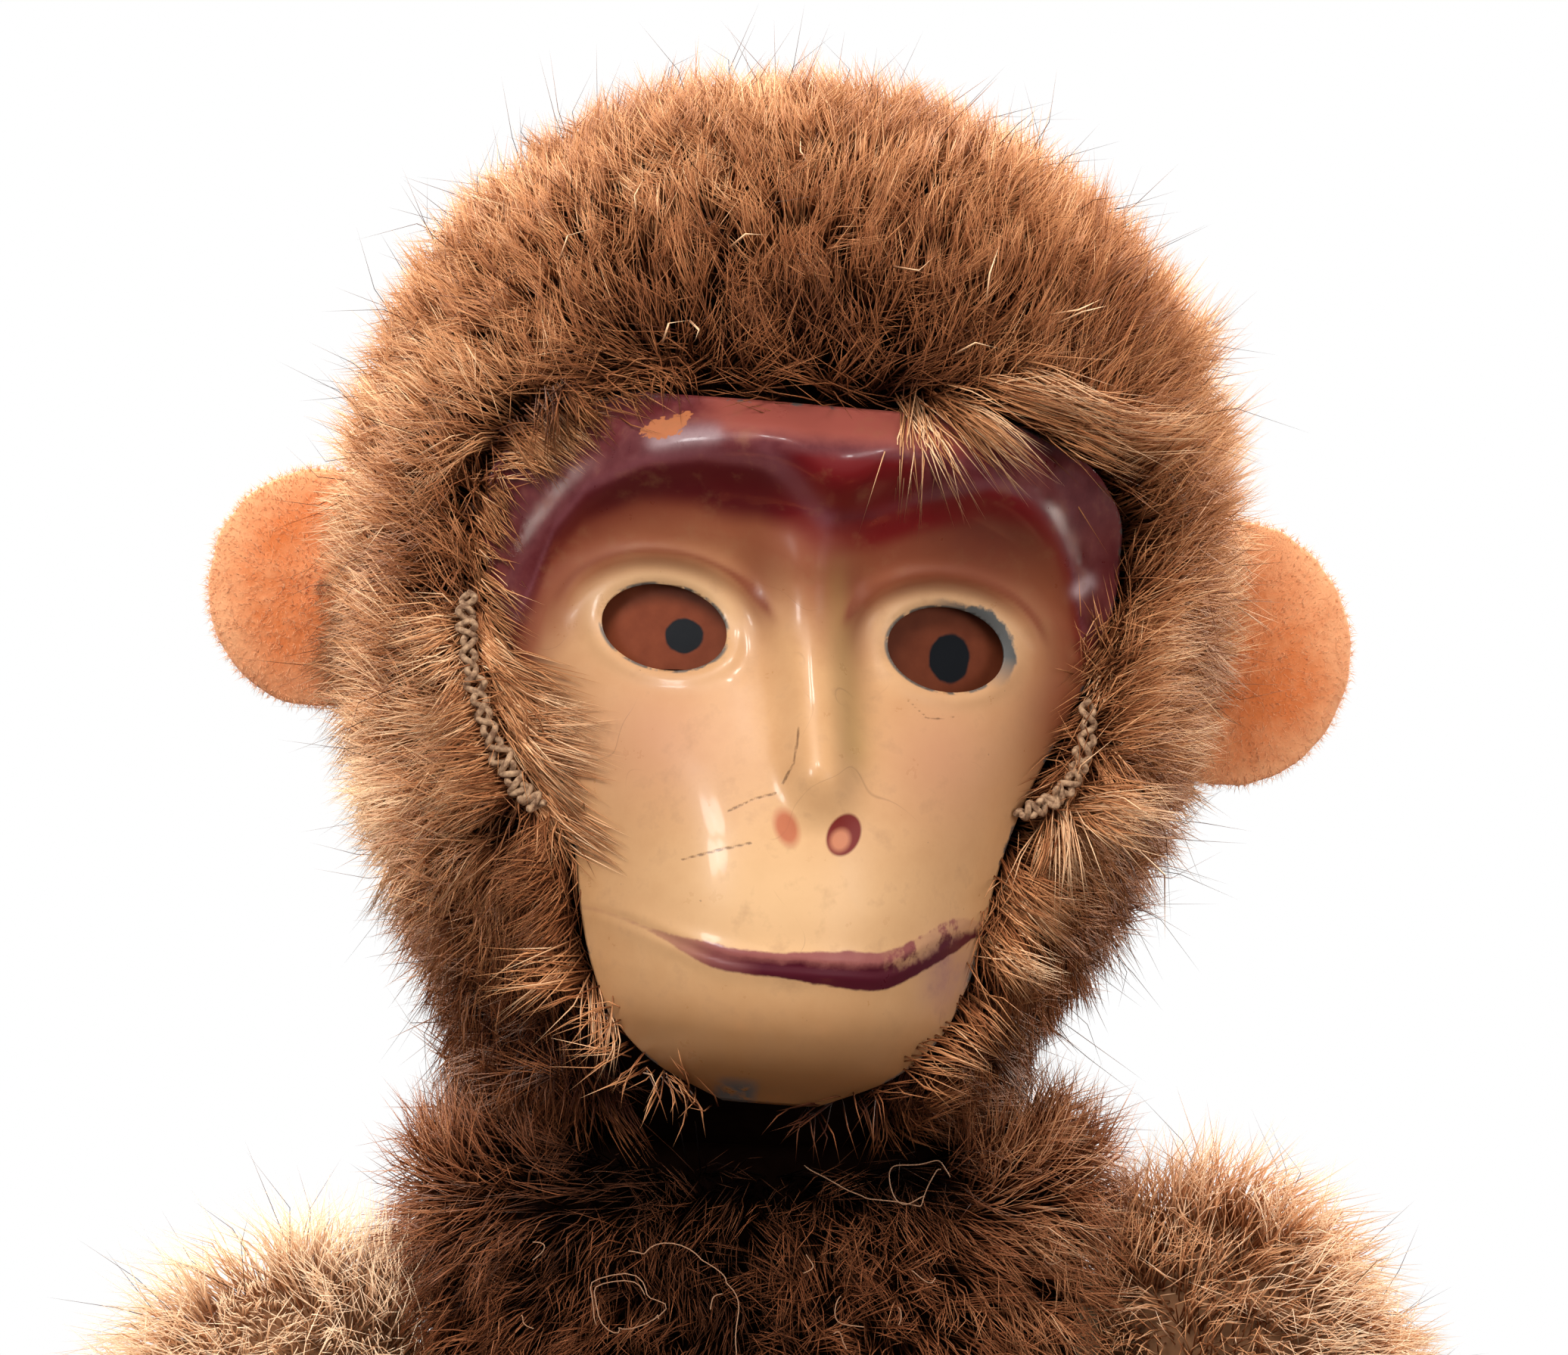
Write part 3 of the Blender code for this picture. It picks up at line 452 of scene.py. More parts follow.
HAIRS_A_PIECE = 19000  # so that no piece grows too heavy


def put_hairs(name, roots, knees, tips, width, tone, finish):
    """Spikes from root to tip, by way of a knee if there is one: three-sided and closed."""
    count = len(roots)
    starts = unit((tips if knees is None else knees) - roots)
    across = unit(np.cross(starts, starts[:, [1, 2, 0]] + 0.37))
    other = np.cross(starts, across)
    turn = 2 * np.pi * np.arange(3) / 3
    spokes = across[:, None] * np.cos(turn)[:, None] + other[:, None] * np.sin(turn)[:, None]
    rings = [roots[:, None] + spokes * width / 2]
    if knees is not None:
        rings.append(knees[:, None] + spokes * width * 0.4)
    points = np.concatenate([*rings, tips[:, None]], axis=1)
    size, last = points.shape[1], 3 * (len(rings) - 1)
    base = size * np.arange(count)[:, None]
    sides = [(i, (i + 1) % 3) for i in range(3)]
    faces = [base + np.array([i, j, 3 + j, 3 + i]) for i, j in sides if last]
    faces += [base + np.array([last + i, last + j, size - 1]) for i, j in sides]
    faces += [base + np.array([0, 2, 1])]
    piece = put_mesh(name, points.reshape(-1, 3), faces, finish)
    u = np.clip(tone, 0.02, 0.98)[:, None] + np.resize([-0.006, 0.0, 0.006], size)
    heights = [0.02, 0.5][: len(rings)] + [0.98]
    v = np.repeat(heights, [3] * len(rings) + [1]) + np.resize([0, 0.01, 0], size)
    corners = np.concatenate([group.reshape(-1) for group in faces])
    layer = piece.data.uv_layers.new(name="OFBake")
    places = np.stack([u.reshape(-1)[corners], np.tile(v, count)[corners]], axis=1)
    layer.data.foreach_set("uv", places.astype(np.float32).reshape(-1))
    return piece


def scattered(form, count, seed, density=None):
    """Even random roots on a form: a fine grid's cells are drawn by their area times density."""
    rng = np.random.default_rng(seed)
    rows, columns = 160, 200
    middles = (np.arange(rows) + 0.5) / rows, (np.arange(columns) + 0.5) / columns * 2 * np.pi
    along, around = np.meshgrid(*middles, indexing="ij")
    half_a, half_b = 0.5 / rows, np.pi / columns
    reach = half_a * 0.9
    lengthwise = form.points(along + reach, around) - form.points(along - reach, around)
    crosswise = form.points(along, around + half_b) - form.points(along, around - half_b)
    weight = np.linalg.norm(np.cross(lengthwise, crosswise), axis=-1)
    if density is not None:
        weight = weight * density(form.points(along, around))
    weight = weight.reshape(-1) / weight.sum()
    cell = rng.choice(weight.size, size=count, p=weight)
    along = along.reshape(-1)[cell] + rng.uniform(-half_a, half_a, count)
    around = around.reshape(-1)[cell] + rng.uniform(-half_b, half_b, count)
    along = np.clip(along, 0.004, 0.996)
    return form.points(along, around), form.normals(along, around)


ROOT_DEPTH = 0.8 * MM


def sunk(roots, normals, keep):
    """The kept roots, moved a little under the form's surface, and their normals."""
    return roots[keep] - ROOT_DEPTH * normals[keep], normals[keep]


def lean(normals, wanted):
    """The part of a direction that lies along the cloth, as a unit vector."""
    return unit(wanted - normals * np.sum(wanted * normals, axis=1, keepdims=True))


def locks_of(roots, size):
    """Numbers each hair's lock: cells of about this size in mm, their walls bent by the swirls."""
    bent = roots + 0.45 * size * MM * swirls(roots, 0.004, 7)
    _, lock = np.unique(np.floor(bent / (size * MM)).astype(int), axis=0, return_inverse=True)
    return lock.reshape(-1)


def lock_mean(values, lock):
    """Each hair's lock's mean."""
    counts = np.bincount(lock)
    means = np.stack([np.bincount(lock, values[:, i]) / counts for i in range(3)], axis=1)
    return means[lock]


def grow_pile(
    name, body, roots, normals, comb, seed, length=8.0, width=0.14, stand=0.75, tone=0.5, mess=0.3,
    lock_size=1.3, gather=0.5, finish=None,
):
    """Pile: each hair starts between straight up and the comb's direction, its tip leans further,
    and it is drawn towards the mean of its lock. Every lock has its own whim and its own tone."""
    rng = np.random.default_rng(seed)
    count = len(roots)
    lock = locks_of(roots, lock_size)
    whims = rng.normal(size=(lock.max() + 1, 5))[lock]
    whim, lock_tone, lock_length = whims[:, :3], whims[:, 3], whims[:, 4]
    loose = rng.normal(size=(count, 3))
    comb = lean(normals, unit(comb) + 0.5 * swirls(roots, 0.008, seed) + 0.45 * whim)
    stand = np.broadcast_to(np.asarray(stand, float), (count,))[:, None]
    mess = np.broadcast_to(np.asarray(mess, float), (count,))[:, None]
    starts = unit(normals * stand + comb * (1 - stand) + 0.5 * mess * loose + 0.12 * whim)
    ends = unit(starts + 0.5 * comb + mess * rng.normal(size=(count, 3)) + 0.12 * whim)
    lengths = length * MM * rng.uniform(0.7, 1.1, count) * np.clip(1 + 0.1 * lock_length, 0.7, 1.3)
    knees = roots + 0.5 * lengths[:, None] * starts
    tips = knees + 0.5 * lengths[:, None] * ends
    share = gather * rng.uniform(0.2, 1.0, count)[:, None]
    tips = tips + share * (lock_mean(tips, lock) - tips)
    knees = knees + 0.3 * share * (lock_mean(knees, lock) - knees)
    shade = tone + 0.09 * rng.normal(size=count) + 0.075 * lock_tone
    for number, first in enumerate(range(0, count, HAIRS_A_PIECE), 1):
        some = slice(first, first + HAIRS_A_PIECE)
        spikes = roots[some], knees[some], tips[some], width * MM, shade[some]
        piece = put_hairs(f"{name}_{number}", *spikes, finish or GOLDEN_MOHAIR)
        finish_piece(piece, body, "mohair")


# %% [markdown]
# The hair's finish reads that map. Across it runs from dark roots of the darkest hair to pale
# gold, and up it from a shaded root to a sun-bleached tip. Mohair has a soft shine, so it is
# not fully rough.

# %% Mohair finish


def mohair_finish(name, dark, middle, golden, pale, root_shade=(0.22, 0.13, 0.09)):
    finish = Finish(name, roughness=0.55, Specular_IOR_Level=0.15)
    tone, height, _ = finish.parts(finish.node("ShaderNodeUVMap", {"uv_map": "OFBake"}, {}))
    stops = [(0.0, dark), (0.4, middle), (0.72, golden), (1.0, pale)]
    hair = finish.ramp((tone + (height - 0.5) * 0.34).clamped(), stops)
    root = finish.blend(height.step(0.0, 0.42), root_shade, (1.0, 1.0, 1.0))
    return finish.set("Base Color", finish.blend(1.0, hair, root, "MULTIPLY"))


GOLDEN_MOHAIR = mohair_finish(
    "golden_mohair", (0.04, 0.01, 0.005), (0.27, 0.092, 0.034),
    (0.56, 0.255, 0.11), (0.9, 0.59, 0.35),
)
# Its darkest stop is near black, for the painted shadow under the chin.
BODY_MOHAIR = mohair_finish(
    "body_mohair", (0.003, 0.001, 0.0008), (0.26, 0.085, 0.034),
    (0.5, 0.22, 0.1), (0.85, 0.55, 0.33),
)
FADED_MOHAIR = mohair_finish(
    "faded_mohair", (0.14, 0.046, 0.02), (0.42, 0.175, 0.075),
    (0.66, 0.33, 0.16), (0.94, 0.68, 0.46), root_shade=(0.72, 0.6, 0.52),
)


def cloth_finish(name, dark, light, back=None):
    """Woven backing in two colours, with another pair of them on the toy's back if it is given."""
    finish = Finish(name, roughness=0.95, Specular_IOR_Level=0.0)
    weave = finish.noise(finish.place(), 900.0)
    color = finish.blend(weave, dark, light)
    if back:
        behind = finish.parts(finish.place())[1].step(0.002, 0.012)
        color = finish.blend(behind, color, finish.blend(weave, *back))
    return finish.set("Base Color", color)


# Near black, as painted shadow: the backing shows in the pile's gaps and under the chin, and
# this pair makes it read as shade. The body's back takes a brown pair.
PAINTED_SHADOW_BLACK = ((0.002, 0.0008, 0.0006), (0.007, 0.003, 0.002))
SHADOW_BLACK_CLOTH = cloth_finish("shadow_black_backing_cloth", *PAINTED_SHADOW_BLACK)
BROWN_BACK = ((0.06, 0.024, 0.012), (0.13, 0.058, 0.03))
BODY_CLOTH = cloth_finish("body_cloth_shadow_black_front", *PAINTED_SHADOW_BLACK, back=BROWN_BACK)
ARM_CLOTH = cloth_finish("faded_cloth", (0.12, 0.055, 0.028), (0.22, 0.11, 0.055))
print("mohair and cloth")

# %% [markdown]
# The face is one sheet of tin, pressed into a brow roll, eye sockets, a nose ridge and a muzzle.
# A sheet pressed in a die is a height above a plane, so it is one function of width and height:
# how far the tin stands forward. A few measured sections give the mid-line, the rim and the
# width, and bell curves add the brow, the sockets and the nose.

# %% The face as a height function
TIN = 0.35 * MM
# Sections from the chin up: height, half width, reach of the middle, reach of the rim.
SECTIONS = [(-18, 3.5, 29.5, 28.5), (-16, 8, 32.5, 29), (-13, 11.6, 35, 28.5)]
SECTIONS += [(-9, 13.7, 36.2, 27.5), (-5, 14.8, 36.6, 27), (0, 15.7, 36.2, 26)]
SECTIONS += [(6, 17.7, 34.6, 24.5), (12, 20.6, 32.2, 22.5), (18, 23, 30.6, 20.5)]
SECTIONS += [(23.5, 23.8, 31, 19.5), (28.2, 22.8, 32, 21), (31, 19.6, 32, 24)]
SECTIONS += [(33.1, 13.5, 30.5, 28)]
FACE = np.array(SECTIONS) * MM
CHIN, FOREHEAD = FACE[0, 0], FACE[-1, 0]
NOSE_OUT = 1 * MM
EYE_OUT, EYE_UP = 10.4 * MM, 16.1 * MM
EYE_HALF = (4.5, 3.1)
EYE_TILTS = {-1: math.radians(7), 1: math.radians(3.5)}


def bell(distance, width):
    """One at no distance, falling off on both sides like a bell."""
    return np.exp(-((distance / width) ** 2))


def soft(value, start, end):
    """A smooth ramp: 0 before start, 1 after end, flat at both ends."""
    t = np.clip((value - start) / (end - start), 0, 1)
    return t * t * (3 - 2 * t)


def through_sections(column, z):
    """The cubic through a column of the face's sections, at any height."""
    heights, values = FACE[:, 0], FACE[:, column]
    slopes = np.gradient(values, heights)
    i = np.clip(np.searchsorted(heights, z) - 1, 0, len(heights) - 2)
    span = heights[i + 1] - heights[i]
    t = np.clip((z - heights[i]) / span, 0, 1)
    return cubic(values[i], values[i + 1], span * slopes[i], span * slopes[i + 1], t)


def brow_height(x):
    """The brow roll's middle line: an arch over each eye, with a dip beside the nose. It falls
    with the fourth power of the width, slowly at first and then steeply."""
    return (30 - 9.9 * (x / (21 * MM)) ** 4) * MM - 1.7 * MM * bell(x - NOSE_OUT, 3.2 * MM)


def lip_height(x):
    """The mouth's line: lowest in the middle, rising to both corners, steeper on the right."""
    return (-7.6 + 2.9 * soft(-x / MM, 3, 15.5) + 3.4 * soft(x / MM, 6, 14.5)) * MM


def nose_middle(z):
    """The nose's ridge leans a little across the face as it rises."""
    return 1.9 * MM - 0.11 * z


def ridge_height(x):
    """The painted ridge under the brow roll, through a few measured places: an arch over each
    eye, the left one wider, and a notch over the nose."""
    places = [(-22, 13), (-20.1, 18.2), (-18.8, 22.8), (-16.9, 25.6), (-13, 27.8), (-8.9, 28.6)]
    places += [(-4.5, 28.3), (-2, 27.2), (0.6, 24.9), (4, 25.3), (7.8, 26.9), (12.4, 28.2)]
    places += [(16, 27.7), (18, 26), (19.4, 23.4), (21, 18)]
    across, up = np.array(places).T
    return np.interp(x / MM, across, up) * MM


def oval(x, z, center, half, tilt):
    """Millimetres outside a tilted oval, less than none inside it."""
    across, up = x - center[0] * MM, z - center[1] * MM
    along = across * math.cos(tilt) - up * math.sin(tilt)
    over = across * math.sin(tilt) + up * math.cos(tilt)
    reach = np.sqrt((along / half[0]) ** 2 + (over / half[1]) ** 2) / MM
    return (reach - 1) * math.sqrt(half[0] * half[1])


def eye_distance(x, z, side):
    """Millimetres outside the edge of an eye's cut-out."""
    return oval(x, z, (side * EYE_OUT / MM, EYE_UP / MM), EYE_HALF, EYE_TILTS[side])


def face_reach(x, z):
    """How far the tin stands forward of the nod pin at this width and height."""
    middle, rim = through_sections(2, z), through_sections(3, z)
    share = np.clip(np.abs(x) / through_sections(1, z), 0, 1)
    reach = rim + (middle - rim) * (1 - share**2.2)
    up_nose = np.clip((z - 6 * MM) / (14 * MM), -1, 1)
    nose = (1 - 0.5 * np.maximum(up_nose, 0)) * soft(z / MM, 1.6, 7.0) * (1 - soft(z / MM, 21, 26))
    off_nose = np.abs(x - nose_middle(z)) / MM
    reach = reach + 2.4 * MM * nose * np.exp(-((off_nose / 2.4) ** 2.5))
    reach = reach - 0.5 * MM * bell(off_nose - 4.3, 1.6) * bell(z - 18 * MM, 6 * MM)
    reach = reach + 2.2 * MM * bell(z - brow_height(x), 2.8 * MM) * (1 - share**6)
    socket = bell(np.abs(x) - EYE_OUT, 6.4 * MM) * bell(z - EYE_UP - 1.4 * MM, 4.4 * MM)
    reach = reach - 1.9 * MM * socket
    for side in (-1, 1):
        edge, above = eye_distance(x, z, side), soft((z - EYE_UP) / MM, -1.5, 2.5)
        reach = reach + 0.3 * MM * bell(edge - 0.5, 0.8) + 0.4 * MM * above * bell(edge - 2.6, 1.0)
    fading = np.clip(1.2 - np.abs(x) / (14.5 * MM), 0, 1)
    lips, groove = (bell(z - lip_height(x), width * MM) * fading for width in (1.1, 0.4))
    return reach + 0.5 * MM * lips - 0.3 * MM * groove


nose_tip = float(face_reach(np.array(0.0), np.array(6 * MM))) / MM
print("nose tip stands", round(nose_tip, 1), "mm forward")

# %% [markdown]
# The sheet itself is a fine grid under that function. Where an eye is cut out, the faces inside
# its oval are left away and the points beside it are moved onto the oval, so the edge is clean.
# The same grid, set back along its own normals by the tin's thickness, is the inner side, and a
# strip closes every cut edge.

# %% Press the tin face


def sheet_grid(rows=230, columns=210):
    """Width and height at the sheet's points, and which of them an eye's cut-out takes away. Those
    are moved out onto the oval from its middle, so the faces that stay end on a clean edge."""
    v = np.linspace(0, 1, rows)[:, None]
    u = np.linspace(-1, 1, columns)[None, :]
    z = CHIN + (FOREHEAD - CHIN) * v + 0 * u
    x = u * through_sections(1, z)
    cut_out = np.zeros(x.shape, bool)
    for side in SIDES.values():
        outside = eye_distance(x, z, side)
        grow = 1 / np.maximum(1 + outside / math.sqrt(EYE_HALF[0] * EYE_HALF[1]), 0.05)
        x = np.where(outside < 0, side * EYE_OUT + (x - side * EYE_OUT) * grow, x)
        z = np.where(outside < 0, EYE_UP + (z - EYE_UP) * grow, z)
        cut_out |= outside < 0
    return x, z, cut_out


def open_edges(faces):
    """Edges that only one face has, in that face's order."""
    ends = np.concatenate([faces[:, [i, (i + 1) % 4]] for i in range(4)])
    key = np.sort(ends, axis=1)
    order = key[:, 0] * (faces.max() + 1) + key[:, 1]
    _, index, counts = np.unique(order, return_inverse=True, return_counts=True)
    return ends[counts[index] == 1]


def press_face(finish):
    """The sheet's front, its back set in by the tin's thickness, and a wall along every edge."""
    x, z, cut_out = sheet_grid()
    quads = grid_quads(*x.shape)
    quads = quads[~cut_out.reshape(-1)[quads].all(axis=1)]
    sheet = np.stack([x, -face_reach(x, z), z], axis=-1)
    step = 0.05 * MM
    slope_x = (face_reach(x + step, z) - face_reach(x - step, z)) / (2 * step)
    slope_z = (face_reach(x, z + step) - face_reach(x, z - step)) / (2 * step)
    normals = unit(np.stack([-slope_x, -np.ones_like(x), -slope_z], axis=-1))
    front, back = sheet.reshape(-1, 3), (sheet - TIN * normals).reshape(-1, 3)
    count = len(front)
    rim = open_edges(quads)
    walls = np.stack([rim[:, 1], rim[:, 0], rim[:, 0] + count, rim[:, 1] + count], axis=1)
    faces = [quads, quads[:, ::-1] + count, walls]
    used = np.zeros(2 * count, bool)
    for group in faces:
        used[group.reshape(-1)] = True
    renumber = np.cumsum(used) - 1
    faces = [renumber[group] for group in faces]
    upright = np.concatenate([front, back])[used]
    fields = paint_fields(upright[:, 0], upright[:, 2])
    fields["inside"] = np.repeat([0.0, 1.0], count)[used]
    return put_mesh("pressed_face", placed(upright, HEAD_PLACE), faces, finish, fields)


# %% [markdown]
# The paint follows the pressing, so its outlines are worked out on the same width and height as
# distances in millimetres: below zero inside a painted area, above it outside. The shader turns
# each distance into a crisp or worn edge, with noise for chips, which no mesh could be fine
# enough to hold.

# %% Where the paint goes


def line_distance(x, z, points):
    """Millimetres from a line of straight pieces through the given places."""
    nearest = np.full(x.shape, 99.0)
    for (x0, z0), (x1, z1) in zip(points[:-1], points[1:]):
        run, rise, across, up = x1 - x0, z1 - z0, x / MM - x0, z / MM - z0
        along = np.clip((across * run + up * rise) / (run**2 + rise**2), 0, 1)
        nearest = np.minimum(nearest, np.hypot(across - along * run, up - along * rise))
    return nearest


CRACKS = [
    [(-0.6, 9.6), (-0.7, 8.2), (-0.85, 6.9), (-1.5, 5.4)],
    [(-1.9, 4.7), (-3.4, 4.2), (-5.3, 3.1)],
    [(-3.5, 1.0), (-6, 0.2), (-8.2, -0.6)],
]
SCRATCHED = [(7.4, 12.3), (9.2, 10.9), (11.2, 11.2)]


def paint_fields(x, z):
    """Shares of airbrushed paint, of painted shade and of painted highlights, and distances in mm to the edges of
    the brushed ones.
    """
    width, height = x / MM, z / MM
    under = (ridge_height(x) - z) / MM
    middle = bell(width - 1.2, 4.2)
    left = bell(width + 6, 5)
    strip = soft(under, -0.1, 0.5) * (1 - soft(under, 1.5 + 1.3 * left, 3.0 + 1.8 * left))
    strip = strip * (1 - 0.8 * bell(width - 0.6, 2.2))
    patch = soft(width, -4.2, -1.8) * (1 - soft(width, 5.0, 8.5))
    patch = patch * soft(height, 24.6, 26.4) * (1 - soft(height, 28.8, 29.9))
    # A painted highlight on the lighter facets where the brow roll dips at the notch.
    notch_highlight = bell(line_distance(x, z, [(-4.6, 29.2), (-2.6, 27.6), (0.4, 24.8)]), 0.75)
    off_nose = (x - nose_middle(z)) / MM
    beside_nose = bell(np.abs(off_nose) - 3.9, 1.5) * bell(height - 20, 4.5)
    down_nose = soft(height, 8, 14) * (1 - soft(height, 20, 24))
    beside_nose = beside_nose + 0.25 * bell(off_nose - 3.4, 1.2) * down_nose
    temples = bell(np.abs(width) - 21.5, 5.5) * bell(height - 12, 8)
    under_right = bell(width - 12.5, 7) * bell(height - 23.6, 4.2)
    under_right = under_right + 0.5 * bell(width - 20, 4.5) * bell(height - 12, 7)
    lids = np.minimum(eye_distance(x, z, -1), eye_distance(x, z, 1))
    crease = bell(lids - 2.9, 0.3) * soft(height, 16.5, 19)
    half = 0.12 + 0.75 * soft(width, -10.5, -5) + 0.55 * soft(width, -3, 6)
    half = half - 0.95 * soft(width, 11.6, 15.2)
    line = (z - lip_height(x)) / MM
    slant = math.radians(24)
    rim = (through_sections(1, z) - np.abs(x)) / MM
    rim = np.minimum(rim, np.minimum(z - CHIN, FOREHEAD - z) / MM)
    crack = np.min([line_distance(x, z, points) for points in CRACKS], axis=0)
    return {
        "under": under,
        "core": np.clip(strip * (1 - 0.5 * soft(np.abs(width), 14, 19)) + patch * 1.2, 0, 1),
        # lilac: a painted highlight in a lilac tone along the brow roll's crest and its notch.
        "crest_highlight": np.clip(bell(under + 0.25, 0.5) * (1 - middle) * 0.75 + notch_highlight, 0, 1),
        "top": soft(height, 29.2, 31.6) * (1 - soft(np.abs(width - 1.5), 8, 13)),
        # sheen: a painted highlight on the brow roll's upper left, and a pale chip near the right temple.
        "highlight_and_pale_chip": bell(line_distance(x, z, [(-12.2, 29.5), (-8.4, 30.3)]), 0.7)
        + 1.6 * bell(line_distance(x, z, [(20.3, 21.3), (21.2, 22.0)]), 0.6),
        "shade": np.clip(beside_nose * 0.75 + temples * 0.55 + crease * 0.8 + under_right, 0, 1),
        # olive: painted shade on the right side of the nose ridge, in an olive tone.
        "olive_nose_shade": 0.6 * bell(off_nose - 2.6, 1.4) * soft(height, 5, 9) * (1 - soft(height, 19, 24)),
        # dusk: painted shade, dark wine, under the right half of the brow roll.
        "right_brow_shade": 0.9 * bell(width - 12.5, 6.0) * bell(height - 25.4, 2.9),
        "blush": 0.7 * bell(np.abs(width) - 10.5, 5) * bell(height - 8, 5),
        "muzzle": bell(width + 1, 9) * bell(height + 3, 6),
        "haze": bell(width - 12.2, 2.2) * bell(height + 7.6, 2.6),
        "lips": np.abs(line) - half,
        "lip_share": line / np.maximum(half, 0.15),
        "left_nostril": oval(x, z, (-1.0, 2.3), (0.78, 1.25), -slant),
        "right_nostril": oval(x, z, (3.2, 2.1), (1.2, 1.6), slant),
        "right_heart": oval(x, z, (2.95, 1.7), (0.72, 0.85), slant),
        "orange_chip": oval(x, z, (-11.4, 30.7), (1.9, 0.7), math.radians(-20)),
        "crack": np.minimum(crack, line_distance(x, z, SCRATCHED) + 0.02),
        "eye_edge": lids,
        "rim": rim,
        "across": width,
        "up": height,
    }


# %% [markdown]
# Gloss enamel on tin, about a century old: cream that has yellowed, a flush of brown round the
# eyes, wine red over the brow, lips half worn away. Wear shows bare grey metal on high edges,
# and fine cracks run beside the nose. The varnish keeps its gloss, with a slight orange peel.
# Some coats are painted light: shade by the nose, under the right brow and low on the chin, and highlights on the
# brow.

# %% Enamel finish


